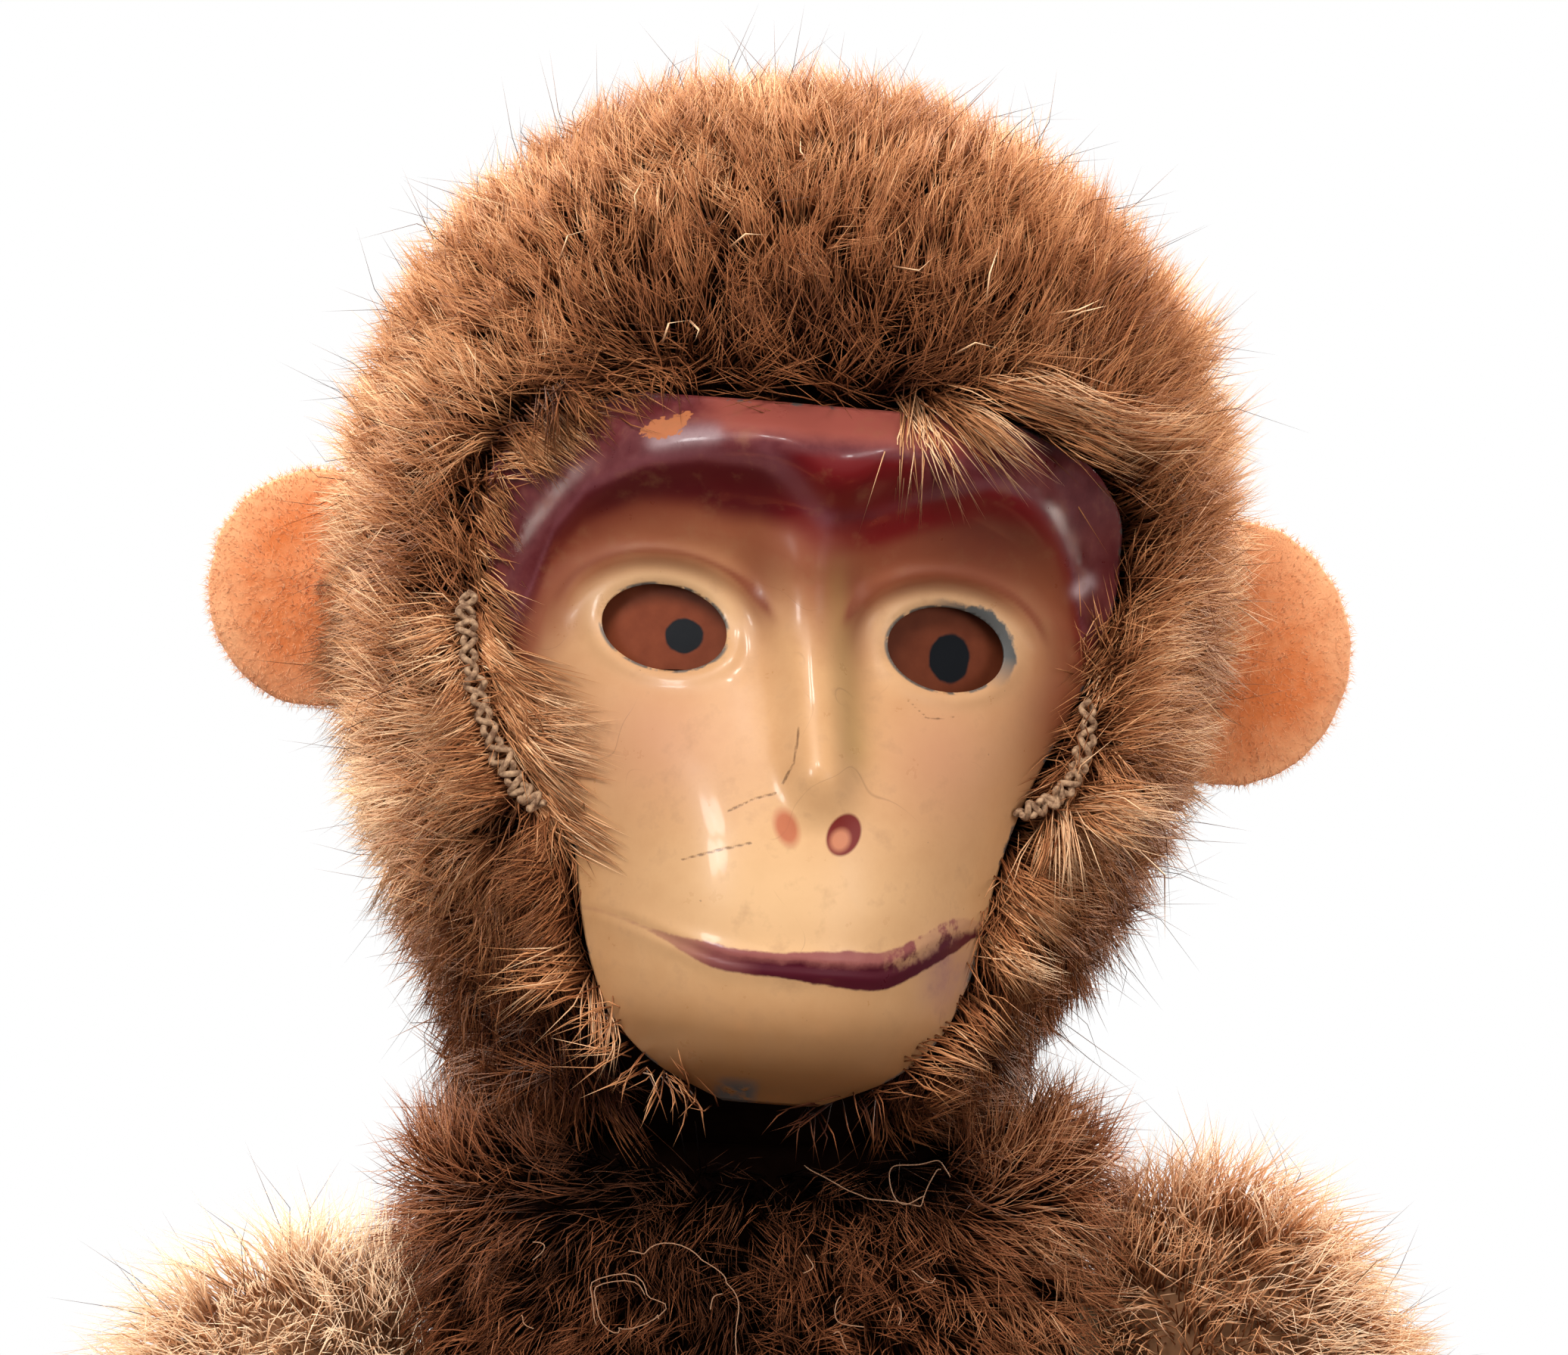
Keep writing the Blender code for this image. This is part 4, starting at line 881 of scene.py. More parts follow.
def enamel_finish():
    gloss = {"Specular_IOR_Level": 0.5, "Coat_Weight": 0.3, "Coat_Roughness": 0.06}
    finish = Finish("face_enamel", roughness=0.3, **gloss)
    where = finish.place()
    broad, fine = finish.noise(where, 75.0, 4.0), finish.noise(where, 420.0, 4.0, 0.65)
    grit = finish.noise(where, 1500.0, 2.0, 0.6)
    field = {key: finish.attribute(key) for key in PAINTED}
    across, up, lip_share = field["across"], field["up"], field["lip_share"]
    worn = fine + (grit - 0.5) * 0.45
    mottle = (broad - 0.5) * 0.9 + (fine - 0.5) * 0.7
    under = field["under"] + mottle * 1.3
    grime = fine.step(0.55, 0.75) * 0.3
    cream = finish.blend((mottle + 0.5).clamped(), (0.44, 0.215, 0.085), (0.64, 0.37, 0.18))
    purple = finish.blend(fine.step(0.35, 0.7), (0.09, 0.012, 0.015), (0.15, 0.034, 0.036))
    wine = finish.blend(across.step(-0.5, -4.0), (0.13, 0.005, 0.006), (0.07, 0.003, 0.006))
    pink = finish.blend(fine, (0.2, 0.045, 0.045), (0.34, 0.12, 0.1))
    deep = (lip_share + (fine - 0.5) * 1.1).step(0.5, 0.0) * across.step(-7.0, -2.0)
    lip_color = finish.blend(deep, pink, (0.07, 0.006, 0.014))
    on = ((field["lips"] + (worn - 0.5) * 0.45) * -1.0).step(-0.08, 0.1)
    fade = across.step(-12.5, -5.5) * 0.8 + 0.2
    scuffed = across.step(6.5, 9.0) * worn.step(0.38, 0.5)
    scuffed = scuffed * (lip_share + (fine - 0.5) * 2.0).step(-0.4, 0.3)
    nostril = (field["right_nostril"] * -1.0).step(-0.1, 0.1)
    coats = [
        (field["blush"], (0.5, 0.235, 0.13)),
        (field["muzzle"] * 0.6, (0.76, 0.5, 0.27)),
        # Painted shade: the chin darkens towards its bottom, which faces down.
        (up.step(-8.5, -15.5) * 0.9, (0.2, 0.085, 0.028)),
        (under.step(11.5, 5.5) * 0.95, (0.235, 0.066, 0.03)),
        (under.step(5.2, 1.8), (0.155, 0.024, 0.014)),
        # Painted shade on the right side of the nose ridge.
        (field["olive_nose_shade"], (0.34, 0.2, 0.06)),
        (field["shade"], (0.2, 0.055, 0.024)),
        # Painted shade under the right half of the brow roll.
        ((field["right_brow_shade"] * (0.75 + mottle)).clamped(), (0.1, 0.016, 0.014)),
        (field["eye_edge"].step(2.2, 0.8) * (0.2 + up.step(15.0, 18.0) * 0.5), (0.58, 0.36, 0.19)),
        ((under * -1.0).step(-1.6, 0.1), purple),
        ((field["top"] + (fine - 0.5) * 0.5).step(0.2, 0.9), (0.26, 0.062, 0.046)),
        (field["core"] * 0.95, wine),
        # Painted highlight along the brow roll's crest.
        ((field["crest_highlight"] * (0.35 + (broad - 0.5) * 1.2)).clamped(), (0.22, 0.075, 0.09)),
        # Painted highlight, and a pale chip of worn paint.
        ((field["highlight_and_pale_chip"] * (broad + fine - 0.3)).clamped(), (0.36, 0.24, 0.25)),
        ((field["orange_chip"] + (worn - 0.5) * 2.6).step(0.1, -0.02), (0.4, 0.13, 0.05)),
        (grime, (0.24, 0.11, 0.045)),
        ((field["haze"] * (fine * 1.4 - 0.1)).clamped(), (0.27, 0.12, 0.13)),
        ((on * fade * (1 - scuffed * 0.75)).clamped(), lip_color),
        ((field["left_nostril"] * -1.0).step(-0.35, 0.25) * 0.85, (0.42, 0.1, 0.045)),
        (nostril, (0.17, 0.02, 0.016)),
        ((field["right_heart"] * -1.0).step(-0.2, 0.25) * nostril, (0.5, 0.18, 0.09)),
    ]
    crazed = abs(finish.noise(where, 110.0, 1.0) - 0.5).step(0.003, 0.0) * under.step(6.0, 9.0)
    crazed = crazed * broad.step(0.52, 0.6) * field["eye_edge"].step(1.0, 3.0) * 0.35
    cracked = crazed.at_least((field["crack"] + (grit - 0.5) * 0.16).step(0.12, 0.04) * 0.7)
    chips = field["rim"].step(0.3, 0.1) * fine.step(0.56, 0.6)
    upper_right = across.step(9.0, 12.0) * up.step(13.5, 16.0)
    chips = chips.at_least(field["eye_edge"].step(0.26, 0.12) * fine.step(0.44, 0.5) * 0.8)
    chips = chips.at_least((field["eye_edge"] + (fine - 0.5) * 2.2).step(0.85, 0.55) * upper_right)
    chin_chip = across.step(-4.4, -3.6) * across.step(-1.0, -1.8) * up.step(-16.0, -17.0)
    chips = chips.at_least(chin_chip * fine.step(0.36, 0.44)).at_least(field["inside"])
    coats += [
        (cracked, (0.1, 0.04, 0.016)),
        (grit.step(0.77, 0.8) * 0.5, (0.12, 0.06, 0.03)),
        (chips, (0.15, 0.15, 0.145)),
    ]
    finish.set("Base Color", finish.coats(cream, coats))
    finish.set("Metallic", chips * 0.6)
    finish.set("Roughness", 0.3 + chips * 0.35 + grime * 0.4 + (fine - 0.5) * 0.15)
    finish.bump(fine * 0.35 + broad + chips * -0.6 + cracked * -0.5, 0.12 * MM, 0.35)
    return finish


PAINTED = [*paint_fields(np.zeros(1), np.zeros(1)), "inside"]
face = finish_piece(press_face(enamel_finish()), "head", "tin_paint", "face_mask")

# %% [markdown]
# Behind the cut-outs lie two plain painted discs. They are flat and dull, so they stay as the
# frame's own solids, and only their paint is new: reddish brown with one black pupil each,
# painted a little off the middle, which gives the toy its look.

# %% Painted eyes


def eye_finish(name, pupil, half, light):
    """A dull brown with a black oval at the pupil's place, its edge slightly ragged."""
    finish = Finish(name, roughness=0.45, Specular_IOR_Level=0.2)
    where = finish.place()
    grain = finish.noise(where, 700.0, 4.0)
    x, _, z = finish.parts(where)
    across, up = (x - pupil[0]) / half[0], (z - pupil[1]) / half[1]
    reach = (across * across + up * up).maths("SQRT") + (grain - 0.5) * 0.3
    # light scales the brown; the right eye's lower value is painted shade.
    browns = np.array([(0.13, 0.026, 0.01), (0.25, 0.06, 0.024)]) * light
    brown = finish.blend(grain, *map(tuple, browns))
    finish.set("Base Color", finish.blend(reach.step(1.06, 0.94), brown, (0.006, 0.007, 0.009)))
    finish.set("Roughness", 0.35 + reach.step(0.9, 1.1) * 0.2)
    return finish.bump(grain, 0.05 * MM, 0.4)


def repaint(node, finish):
    """Only the look of one of the frame's own solids changes."""
    node.data.materials.clear()
    node.data.materials.append(finish.material)


# The last number scales each eye's brown: the right eye's lower one is painted shade.
PUPILS = {"left": ((-8.8, 15.6), (1.35, 1.25), 0.9), "right": ((10.9, 15.5), (1.55, 1.85), 0.6)}
for name, (center, half, light) in PUPILS.items():
    spot = placed(np.array([[center[0] * MM, 0, center[1] * MM]]), HEAD_PLACE)[0]
    half = (half[0] * MM, half[1] * MM)
    paint = eye_finish("painted_eye_" + name, (spot[0], spot[2]), half, light)
    repaint(frame["nodes"]["eye_" + name], paint)
print("eyes painted")

# %% [markdown]
# Felt is pressed wool: no weave, a soft uneven surface and a halo of short fibres that catches
# the light at the edge. An ear is a double round of orange felt, thick in the middle and pinched
# at its edge. Its fibres are hairs again, short and pale.

# %% Felt finish and fuzz


def felt_finish(name, deep, light):
    """Pale where the piece's thin edge has faded, deep orange in its middle."""
    finish = Finish(name, roughness=0.95, Sheen_Weight=0.35)
    where = finish.place()
    broad, fine = finish.noise(where, 170.0, 4.0), finish.noise(where, 1300.0, 4.0, 0.7)
    pale = (broad - 0.5) * 1.2 + (fine - 0.5) * 0.7 + finish.attribute("faded") * 0.75 + 0.1
    finish.set("Base Color", finish.blend(pale.clamped(), deep, light))
    return finish.bump(fine + broad, 0.25 * MM, 0.6)


ORANGE_FELT = felt_finish("orange_felt_nap", (0.68, 0.185, 0.05), (0.92, 0.46, 0.23))
FELT_FUZZ = Finish("felt_fuzz", roughness=0.8, Base_Color=(0.93, 0.5, 0.27))


def felt_hairs(name, points, normals, count, seed, length=0.9):
    """Short fibres from random points of a surface, nearly straight up."""
    rng = np.random.default_rng(seed)
    pick = rng.integers(0, len(points), count)
    roots, up = points[pick], normals[pick]
    roots = roots + rng.normal(size=roots.shape) * 0.12 * MM
    starts = unit(up + 0.6 * rng.normal(size=up.shape))
    ends = unit(starts + 0.7 * rng.normal(size=up.shape))
    tips = roots + 0.5 * length * MM * rng.uniform(0.5, 1.2, count)[:, None] * (starts + ends)
    return put_hairs(name, roots, None, tips, 0.045 * MM, rng.uniform(0.3, 0.7, count), FELT_FUZZ)


EARS = {-1: (34.8 * MM, 17.5 * MM, 9.2 * MM), 1: (35.9 * MM, 18 * MM, 10.4 * MM)}
EAR_BACK, EAR_HALF = 5 * MM, 1.5 * MM


def ear_points(side, share, around):
    """From the middle of the front (0) over the edge (0.5) to the middle of the back (1).

    Radius grows as the sine of the way over, and the thickness falls with its cosine, drawn in.
    """
    out, up, round_size = EARS[side]
    way = np.pi * share
    radius = np.sin(way) ** 0.72
    thick = np.sign(np.cos(way)) * np.abs(np.cos(way)) ** 0.8 * (1 - 0.25 * radius**2)
    x = side * out + 0.95 * round_size * radius * np.cos(around)
    z = up + round_size * radius * np.sin(around)
    dish = 0.7 * MM * radius**2
    y = EAR_BACK - EAR_HALF * thick + dish - 0.5 * MM
    return np.stack([x, y, z], axis=-1)


def build_ear(name, side):
    share, around = ring_grid(np.linspace(0.004, 0.996, 60), 90)
    upright = ear_points(side, share, around)
    points = placed(upright, HEAD_PLACE)
    bumpy = 0.12 * MM * waves(points, 0.003, 31 + side)[..., None]
    outward = unit(upright - np.array([side * EARS[side][0], EAR_BACK, EARS[side][1]]))
    points = points + bumpy * outward
    faded = np.append(np.sin(np.pi * share.reshape(-1)) ** 3, (0, 0))
    shape = closed_grid(points, points[0].mean(axis=0), points[-1].mean(axis=0))
    piece = put_mesh(name, *shape, ORANGE_FELT, {"faded": faded})
    fix_normals(piece)
    flat, up = points.reshape(-1, 3), unit(outward.reshape(-1, 3))
    return piece, felt_hairs(name + "_fuzz", flat, up, 12000, 40 + side, 0.75)


def fix_normals(piece):
    """Turns all faces outward, for surfaces whose sense depends on their side."""
    shape = bmesh.new()
    shape.from_mesh(piece.data)
    bmesh.ops.recalc_face_normals(shape, faces=shape.faces)
    shape.to_mesh(piece.data)
    shape.free()


for name, side in SIDES.items():
    ear, fuzz = build_ear("felt_ear_" + name, side)
    finish_piece(ear, "head", "orange_felt", "ear_" + name)
    finish_piece(fuzz, "head", "orange_felt")

# %% [markdown]
# Now the head's pile. Hairs stand almost straight out on the crown and lean outward and down at
# the cheeks. None grow where the tin face lies, and they are longer and wilder along its edge,
# where the plush was drawn up by hand. The hairs are split over several pieces, because no piece
# may be too heavy.

# %% The head's pile


def head_local(points):
    return placed(points, HEAD_PLACE.inverted())


def outside_face(points, margin):
    """Whether a point is clear of the tin's outline, seen from the front, by a margin in mm."""
    x, y, z = head_local(points).T
    margin = margin * MM
    half = through_sections(1, np.clip(z, CHIN, FOREHEAD)) + margin
    beyond = (np.abs(x) > half) | (z > FOREHEAD + margin)
    return beyond | (z < CHIN - margin) | (y > -6 * MM)


def face_pull(points):
    """One beside the face's outline, falling to none 9 mm away from it."""
    x, y, z = head_local(points).T
    level = np.clip(z, CHIN, FOREHEAD)
    away = np.hypot(np.maximum(np.abs(x) - through_sections(1, level), 0), z - level)
    return np.where(y < 0, np.clip(1 - away / (9 * MM), 0, 1), 0)


def head_comb(points):
    """Out from the middle of the face, turning down and outward at the cheeks."""
    local = head_local(points)
    x, _, z = local.T
    away = unit(local - np.array([0, -20, 12]) * MM)
    low = np.clip((12 * MM - z) / (25 * MM), 0, 1)[:, None]
    down = np.stack([0.5 * np.sign(x), 0.2 + 0 * x, -np.ones(len(x))], axis=1)
    turned = away * (1 - low) + down * low
    return turned @ np.array(HEAD_PLACE)[:3, :3].T


def head_tone(points):
    """Gold on the crown's edge and the cheeks, dark above the brow, in patches, with painted shade low on the head
    and under the chin.
    """
    x, _, z = head_local(points).T / MM
    above_brow = np.exp(-(((x - 2) / 17) ** 2) - ((z - 39) / 8) ** 2)
    # Painted shade: darker towards the bottom of the head, under the cheeks.
    shade_under_cheeks = np.clip((2 - z) / 14, 0, 1)
    beside = face_pull(points)
    tone = 0.55 - 0.3 * above_brow - 0.27 * shade_under_cheeks - 0.12 * beside
    tone = tone + 0.1 * waves(points, 0.017, 5)
    cheek = np.exp(-(((x + 26) / 7) ** 2) - ((z - 3) / 8) ** 2)
    cheek = cheek - 0.6 * soft(x, 18, 22) * soft(-z, -9, -2)
    # chin: painted shade under the chin.
    chin = np.exp(-((x / 10) ** 2)) * soft(-z, 12, 16)
    tone = tone + 0.26 * cheek - 0.4 * chin
    return tone + 0.12 * np.clip((np.abs(x) - 22) / 10, 0, 1) + 0.06 * waves(points, 0.005, 9)


def front_density(points):
    """Dense in front, about half as dense on the back of the head."""
    local = head_local(points)
    return 1.6 - 0.85 * soft(local[:, 1] / MM, 0, 18)


def density_of(rule):
    return lambda points: rule(points.reshape(-1, 3)).reshape(points.shape[:-1])


def grow_head_pile(count=90000):
    """Longer beside the tin and, on the two sides, where the photograph's outline is fuller."""
    roots, normals = scattered(HEAD, count, 100, density_of(front_density))
    x, y, z = head_local(roots).T / MM
    jaw = np.clip((-3 - z) / 8, 0, 1)
    # No hair grows under the chin, so the black backing shows there as a painted shadow.
    under_chin = (np.abs(x + 1) < 10) & (z < -13) & (y < 0)
    keep = outside_face(roots, 0.2 + 1.3 * jaw) & (z > -20) & ~under_chin
    roots, normals = sunk(roots, normals, keep)
    x, _, z = head_local(roots).T / MM
    pull = face_pull(roots)
    low, top = np.clip((8 - z) / 22, 0, 1), np.clip((z - 40) / 12, 0, 1)
    upper = np.clip((z - 12) / 10, 0, 1) * (1 - top)
    right, left = np.clip(x / 20, 0, 1), np.clip(-x / 20, 0, 1)
    length = 6.9 + 1.4 * pull * (1 - low) - 0.7 * top
    length = length + (0.9 * upper - 1.9 * low) * right + (0.9 * low - 0.8 * upper) * left
    grow_pile(
        "head_pile", "head", roots, normals, head_comb(roots), 200, length=length,
        stand=0.84 - 0.3 * pull - 0.34 * low, tone=head_tone(roots),
        mess=0.24 + 0.2 * pull * (1 - 0.8 * low),
    )


head_cloth = HEAD.skin("head_cloth", SHADOW_BLACK_CLOTH, inset=1.0 * MM)
print("head cloth", len(head_cloth.data.polygons))

# %% [markdown]
# The head's cloth is hollow at the front, where the tin covers it, so its points under the face
# are drawn back behind the sheet. That also keeps it from showing through the eye cut-outs.

# %% Draw the cloth in behind the tin


def before_face(x, z, over):
    """Y just in front of the tin, or of its rim's height where the place is beside the tin."""
    inside = np.clip(z, CHIN, FOREHEAD)
    half = through_sections(1, inside)
    return -face_reach(np.clip(x, -half, half), inside) - over


def draw_in(piece):
    """Moves the cloth's points that the tin covers to a little behind it."""
    points = np.empty(3 * len(piece.data.vertices))
    piece.data.vertices.foreach_get("co", points)
    points = head_local(points.reshape(-1, 3))
    x, y, z = points.T
    half = through_sections(1, np.clip(z, CHIN, FOREHEAD))
    covered = (np.abs(x) < half + 0.4 * MM) & (y < 0)
    covered &= (z > CHIN - 2 * MM) & (z < FOREHEAD + 0.4 * MM)
    points[:, 1] = np.where(covered, np.maximum(y, before_face(x, z, -3.4 * MM)), y)
    points = placed(points, HEAD_PLACE)
    piece.data.vertices.foreach_set("co", points.astype(np.float32).reshape(-1))
    piece.data.update()


def grow_strays(name, body, form, count, seed, keep):
    """A few fine dark hairs that stand out far beyond the pile."""
    roots, normals = scattered(form, count, seed)
    chosen = keep(roots)
    roots, normals = roots[chosen], normals[chosen]
    grow_pile(
        name, body, roots, normals, swirls(roots, 0.01, seed), seed + 1, length=10.2, width=0.075,
        stand=0.82, tone=0.02, mess=0.5, gather=0.0,
    )


draw_in(head_cloth)
finish_piece(head_cloth, "head", "mohair", "head")
grow_head_pile()
grow_strays(
    "head_strays", "head", HEAD, 1100, 150,
    lambda roots: outside_face(roots, 3.0) & (roots[:, 2] > 118 * MM),
)

# %% [markdown]
# Where the plush was pulled up and sewn down along the tin, its hair springs out in tufts that lie
# over the painted edge. Each tuft is a fan: its roots lie on a short line beside the face, all of
# its hairs aim the same way with some spread, and they rise before they fall forward.

# %% Tufts along the tin's edge
TUFTS = [  # root line from x, z to x, z; aim x, z; spread; length; how many; tone
    ((5.6, 34.0), (6.9, 34.2), (0.22, -1.0), 0.36, 12.0, 44, 0.9),
    ((6.8, 34.4), (10.2, 34.6), (0.85, -0.6), 0.42, 11.0, 100, 0.66),
    ((10, 36.0), (17, 32.8), (1.0, -0.35), 0.34, 10.0, 240, 0.56),
    ((13, 38), (24, 29), (1.0, 0.05), 0.4, 10.0, 260, 0.54),
    ((-11, 36), (-20, 32), (0.3, -0.5), 0.8, 5.4, 110, 0.3),
    ((-19, 33), (-23.4, 28.5), (0.8, -0.7), 0.45, 6.0, 300, 0.47),
    ((-23.4, 28), (-25, 21), (0.7, -0.7), 0.5, 4.8, 170, 0.46),
    ((-24.4, 20), (-24.2, 14), (0.8, -0.8), 0.45, 6.6, 230, 0.54),
    ((-23.6, 14), (-20.6, 7), (0.95, -0.6), 0.42, 9.5, 400, 0.66),
    ((-20.6, 8), (-17.4, 1), (0.75, -0.75), 0.45, 7.6, 300, 0.56),
    ((-24.5, 16), (-19.5, 3), (-1.0, -0.7), 0.5, 8.5, 330, 0.62),
    ((-17.0, 1), (-15.6, -6), (-0.6, -0.8), 0.5, 6.5, 300, 0.4),
    ((-15.2, -7.5), (-13.6, -10), (-1.0, -0.35), 0.5, 9.6, 48, 0.74),
    ((-14.4, -9), (-10, -14.8), (-0.9, -0.6), 0.65, 7.0, 60, 0.52),
    ((-10, -15.5), (-4, -18.8), (-0.8, -0.6), 0.65, 5.8, 40, 0.42),
    ((3, -18.4), (7.6, -16.2), (0.7, -0.7), 0.65, 5.6, 30, 0.3),
    ((9.4, -14.8), (14.6, -8), (1.0, -0.5), 0.65, 7.0, 76, 0.48),
    ((14.6, -6), (16.6, 1.5), (0.8, -0.7), 0.5, 7.4, 300, 0.52),
    ((19.6, 5.2), (20.6, 6.2), (0.05, -1.0), 0.32, 10.8, 56, 0.9),
    ((19.9, 4.6), (21.5, 7), (1.0, -0.45), 0.55, 10.0, 130, 0.74),
    ((24, 20), (22.5, 11), (-0.7, -0.6), 0.5, 5.2, 130, 0.54),
    ((22.5, 11), (20, 6.5), (-0.8, -0.35), 0.5, 4.8, 90, 0.52),
    ((24.6, 22), (22, 9), (1.0, 0.15), 0.45, 9.0, 380, 0.62),
]


def grow_tuft(start, end, aim, spread, length, count, tone, rng):
    """One row of the table: roots, knees and tips before they are placed, and tones."""
    share = rng.uniform(0, 1, (count, 1))
    line = np.array(start) * (1 - share) + np.array(end) * share
    x, z = ((line + 0.45 * rng.normal(size=(count, 2))) * MM).T
    roots = np.stack([x, before_face(x, z, -0.9 * MM), z], axis=1)
    lock = share[:, 0] * max(2, count // 34) + 0.35 * rng.normal(size=count)
    lock = np.floor(lock).astype(int)
    lock = lock - lock.min()
    whim = rng.normal(size=(lock.max() + 1, 3))[lock]
    flat = np.array([aim[0], 0.0, aim[1]])
    flat = flat + spread * (0.8 * whim + 0.5 * rng.normal(size=(count, 3)))
    flat = unit(flat * np.array([1, 0.4, 1]))
    lengths = length * MM * rng.uniform(0.55, 1.1, (count, 1))
    knees = roots + 0.45 * lengths * unit(flat + np.array([0, -0.75, 0]))
    ends = flat + np.array([0, -0.15, 0]) + 0.12 * rng.normal(size=(count, 3))
    tips = knees + 0.55 * lengths * unit(ends)
    tips = tips + 0.35 * (lock_mean(tips, lock) - tips)
    for rows, over in ((knees, 0.5), (tips, 0.35)):
        rows[:, 1] = np.minimum(rows[:, 1], before_face(rows[:, 0], rows[:, 2], over * MM))
    return roots, knees, tips, tone + 0.12 * rng.normal(size=count) + 0.12 * whim[:, 0]


tuft_rng = np.random.default_rng(77)
tufts = [grow_tuft(*row, tuft_rng) for row in TUFTS]
*spikes, shade = (np.concatenate(rows) for rows in zip(*tufts))
spikes = [placed(points, HEAD_PLACE) for points in spikes]
edge_tufts = put_hairs("edge_tufts", *spikes, 0.15 * MM, shade, GOLDEN_MOHAIR)
finish_piece(edge_tufts, "head", "mohair")

# %% [markdown]
# A few long hairs have worked loose. Some are bleached nearly white and lie across the forehead,
# and others stand out from the outline. Each is given by where it starts and ends, seen from the
# front, and it bows on the way.

# %% Loose hairs
LOOSE = [  # start x, z; end x, z; bow; how far in front of the pile the ends stand
    ((11.0, 41.4), (12.0, 46.0), 0.3, 1.0),
    ((16.6, 40.6), (20.6, 42.4), 0.2, 1.2),
    ((16.0, 41.2), (20.2, 42.9), -0.3, 1.0),
    ((-12.4, 36.6), (-10.6, 38.4), 0.8, 0.5),
    ((-10.6, 38.4), (-10.2, 36.8), 0.5, 0.5),
    ((-14.6, 46.2), (-14.2, 49.0), 0.4, 0.5),
    ((-20.0, 42.4), (-17.6, 45.0), 0.9, 0.4),
    ((-2.0, 51.0), (-2.6, 53.4), 0.4, 0.5),
    ((4.0, 43.6), (7.2, 44.8), -0.8, 0.4),
    ((8.6, 37.4), (12.2, 38.2), 0.7, 0.6),
    ((-8.0, 44.0), (-5.2, 45.2), 0.6, 0.4),
    ((24.0, 4.0), (31.4, -4.6), 1.6, 2.0),
]


def ring_at(form, z):
    """Half width, half depth and forward shift of a form at these heights."""
    height, *columns = form.rings.T
    return [np.interp(z, height, column) for column in columns]


def pile_front(x, z):
    """Y of the pile's front at a place seen from the front."""
    half, deep, shift = ring_at(HEAD, z)
    across = np.clip(x / (half + 6 * MM), -1, 1)
    return -(deep + 5.4 * MM) * np.sqrt(1 - across**2) - shift


loose = np.array([(*start, *end, bow, out) for start, end, bow, out in LOOSE]) * MM
starts, ends = loose[:, [0, 1]], loose[:, [2, 3]]
bows = 0.5 * (starts + ends) + loose[:, 4:5] * unit((ends - starts)[:, ::-1] * np.array([-1, 1]))
spikes = []
for (x, z), share in ((starts.T, 0.0), (bows.T, 0.8), (ends.T, 1.0)):
    points = np.stack([x, pile_front(x, z) - share * loose[:, 5], z], axis=1)
    spikes.append(placed(points, HEAD_PLACE))
bleached = np.full(len(loose), 0.96)
loose_hairs = put_hairs("loose_hairs", *spikes, 0.2 * MM, bleached, GOLDEN_MOHAIR)
finish_piece(loose_hairs, "head", "mohair")

# %% [markdown]
# The body, arms and legs are the same plush, darker on the body, where the pile has matted. Only
# the top of them is in the photograph, so the pile is densest there.

# %% Pile on the body and limbs
body_cloth = BODY.skin("body_cloth", BODY_CLOTH, inset=1.0 * MM)
finish_piece(body_cloth, "body", "mohair", "body")


def body_rule(points):
    """Dense towards the shoulders, thinner below, none on the seat."""
    z = points[:, 2] / MM
    return (1 + 3 * soft(z, 68, 98)) * (z > 2.5)


def body_tone(points):
    """Paler at both sides, with painted shade on the chest and a nearly black painted shadow under the chin."""
    x, y, z = points.T / MM
    tone = 0.18 + 0.08 * waves(points, 0.014, 15) + 0.06 * waves(points, 0.004, 16)
    # neck: a nearly black painted shadow under the chin; chest: painted shade below it.
    neck = soft(z, 105.5, 109) * (1 - soft(np.abs(x + 1), 10, 17)) * (y < 0)
    chest = np.exp(-(((x + 6) / 8) ** 2) - ((z - 102) / 5) ** 2)
    return tone + 0.36 * soft(x, 2, 20) + 0.17 * soft(-x, 13, 25) - 0.5 * neck - 0.1 * chest


def outside_joints(points):
    """Clear of the four flat joints, the neck's dish and the tail's slot."""
    clear = np.ones(len(points), bool)
    for limb, radius in (("arm_left", 12), ("arm_right", 12), ("leg_left", 13), ("leg_right", 13)):
        pivot = np.array(joints[limb + "_swing"]["pos_m"])
        near = np.hypot(points[:, 1] - pivot[1], points[:, 2] - pivot[2]) < radius * MM
        clear &= ~(near & (points[:, 0] * pivot[0] > 0) & (np.abs(points[:, 0]) > 18 * MM))
    clear &= np.linalg.norm(points - NOD_PIN, axis=1) > 29.5 * MM
    slot = np.hypot(points[:, 0] / MM / 19.5, (points[:, 2] / MM - TAIL_WIRE_Z) / 11.5) < 1
    return clear & ~(slot & (points[:, 1] > 0))


roots, normals = scattered(BODY, 47000, 300, density_of(body_rule))
roots, normals = sunk(roots, normals, outside_joints(roots))
x, y, z = roots.T / MM
rim = soft(z, 101, 108)
shoulder = soft(np.abs(x), 15, 22) * soft(z, 84, 96) * np.where(x > 0, 1, 0.7)
beside_neck = 1 - (1 - soft(np.abs(x + 1), 9, 16)) * (y < 0)
down = np.stack([0.3 * x / 20, 0 * rim, 1.6 * rim * beside_neck - 1], axis=1)
grow_pile(
    "body_pile", "body", roots, normals, down, 320, length=6.0 + 0.8 * rim + 2.6 * shoulder,
    width=0.125, stand=0.58, tone=body_tone(roots), mess=0.32, lock_size=1.5, finish=BODY_MOHAIR,
)

BALD = np.array([-38.6, 97.0]) * MM
BALD_HALF = np.array([3.4, 2.4]) * MM


def limb_seed(limb, base):
    """A seed that is each limb's own."""
    return base + len(limb) + ord(limb[-1])


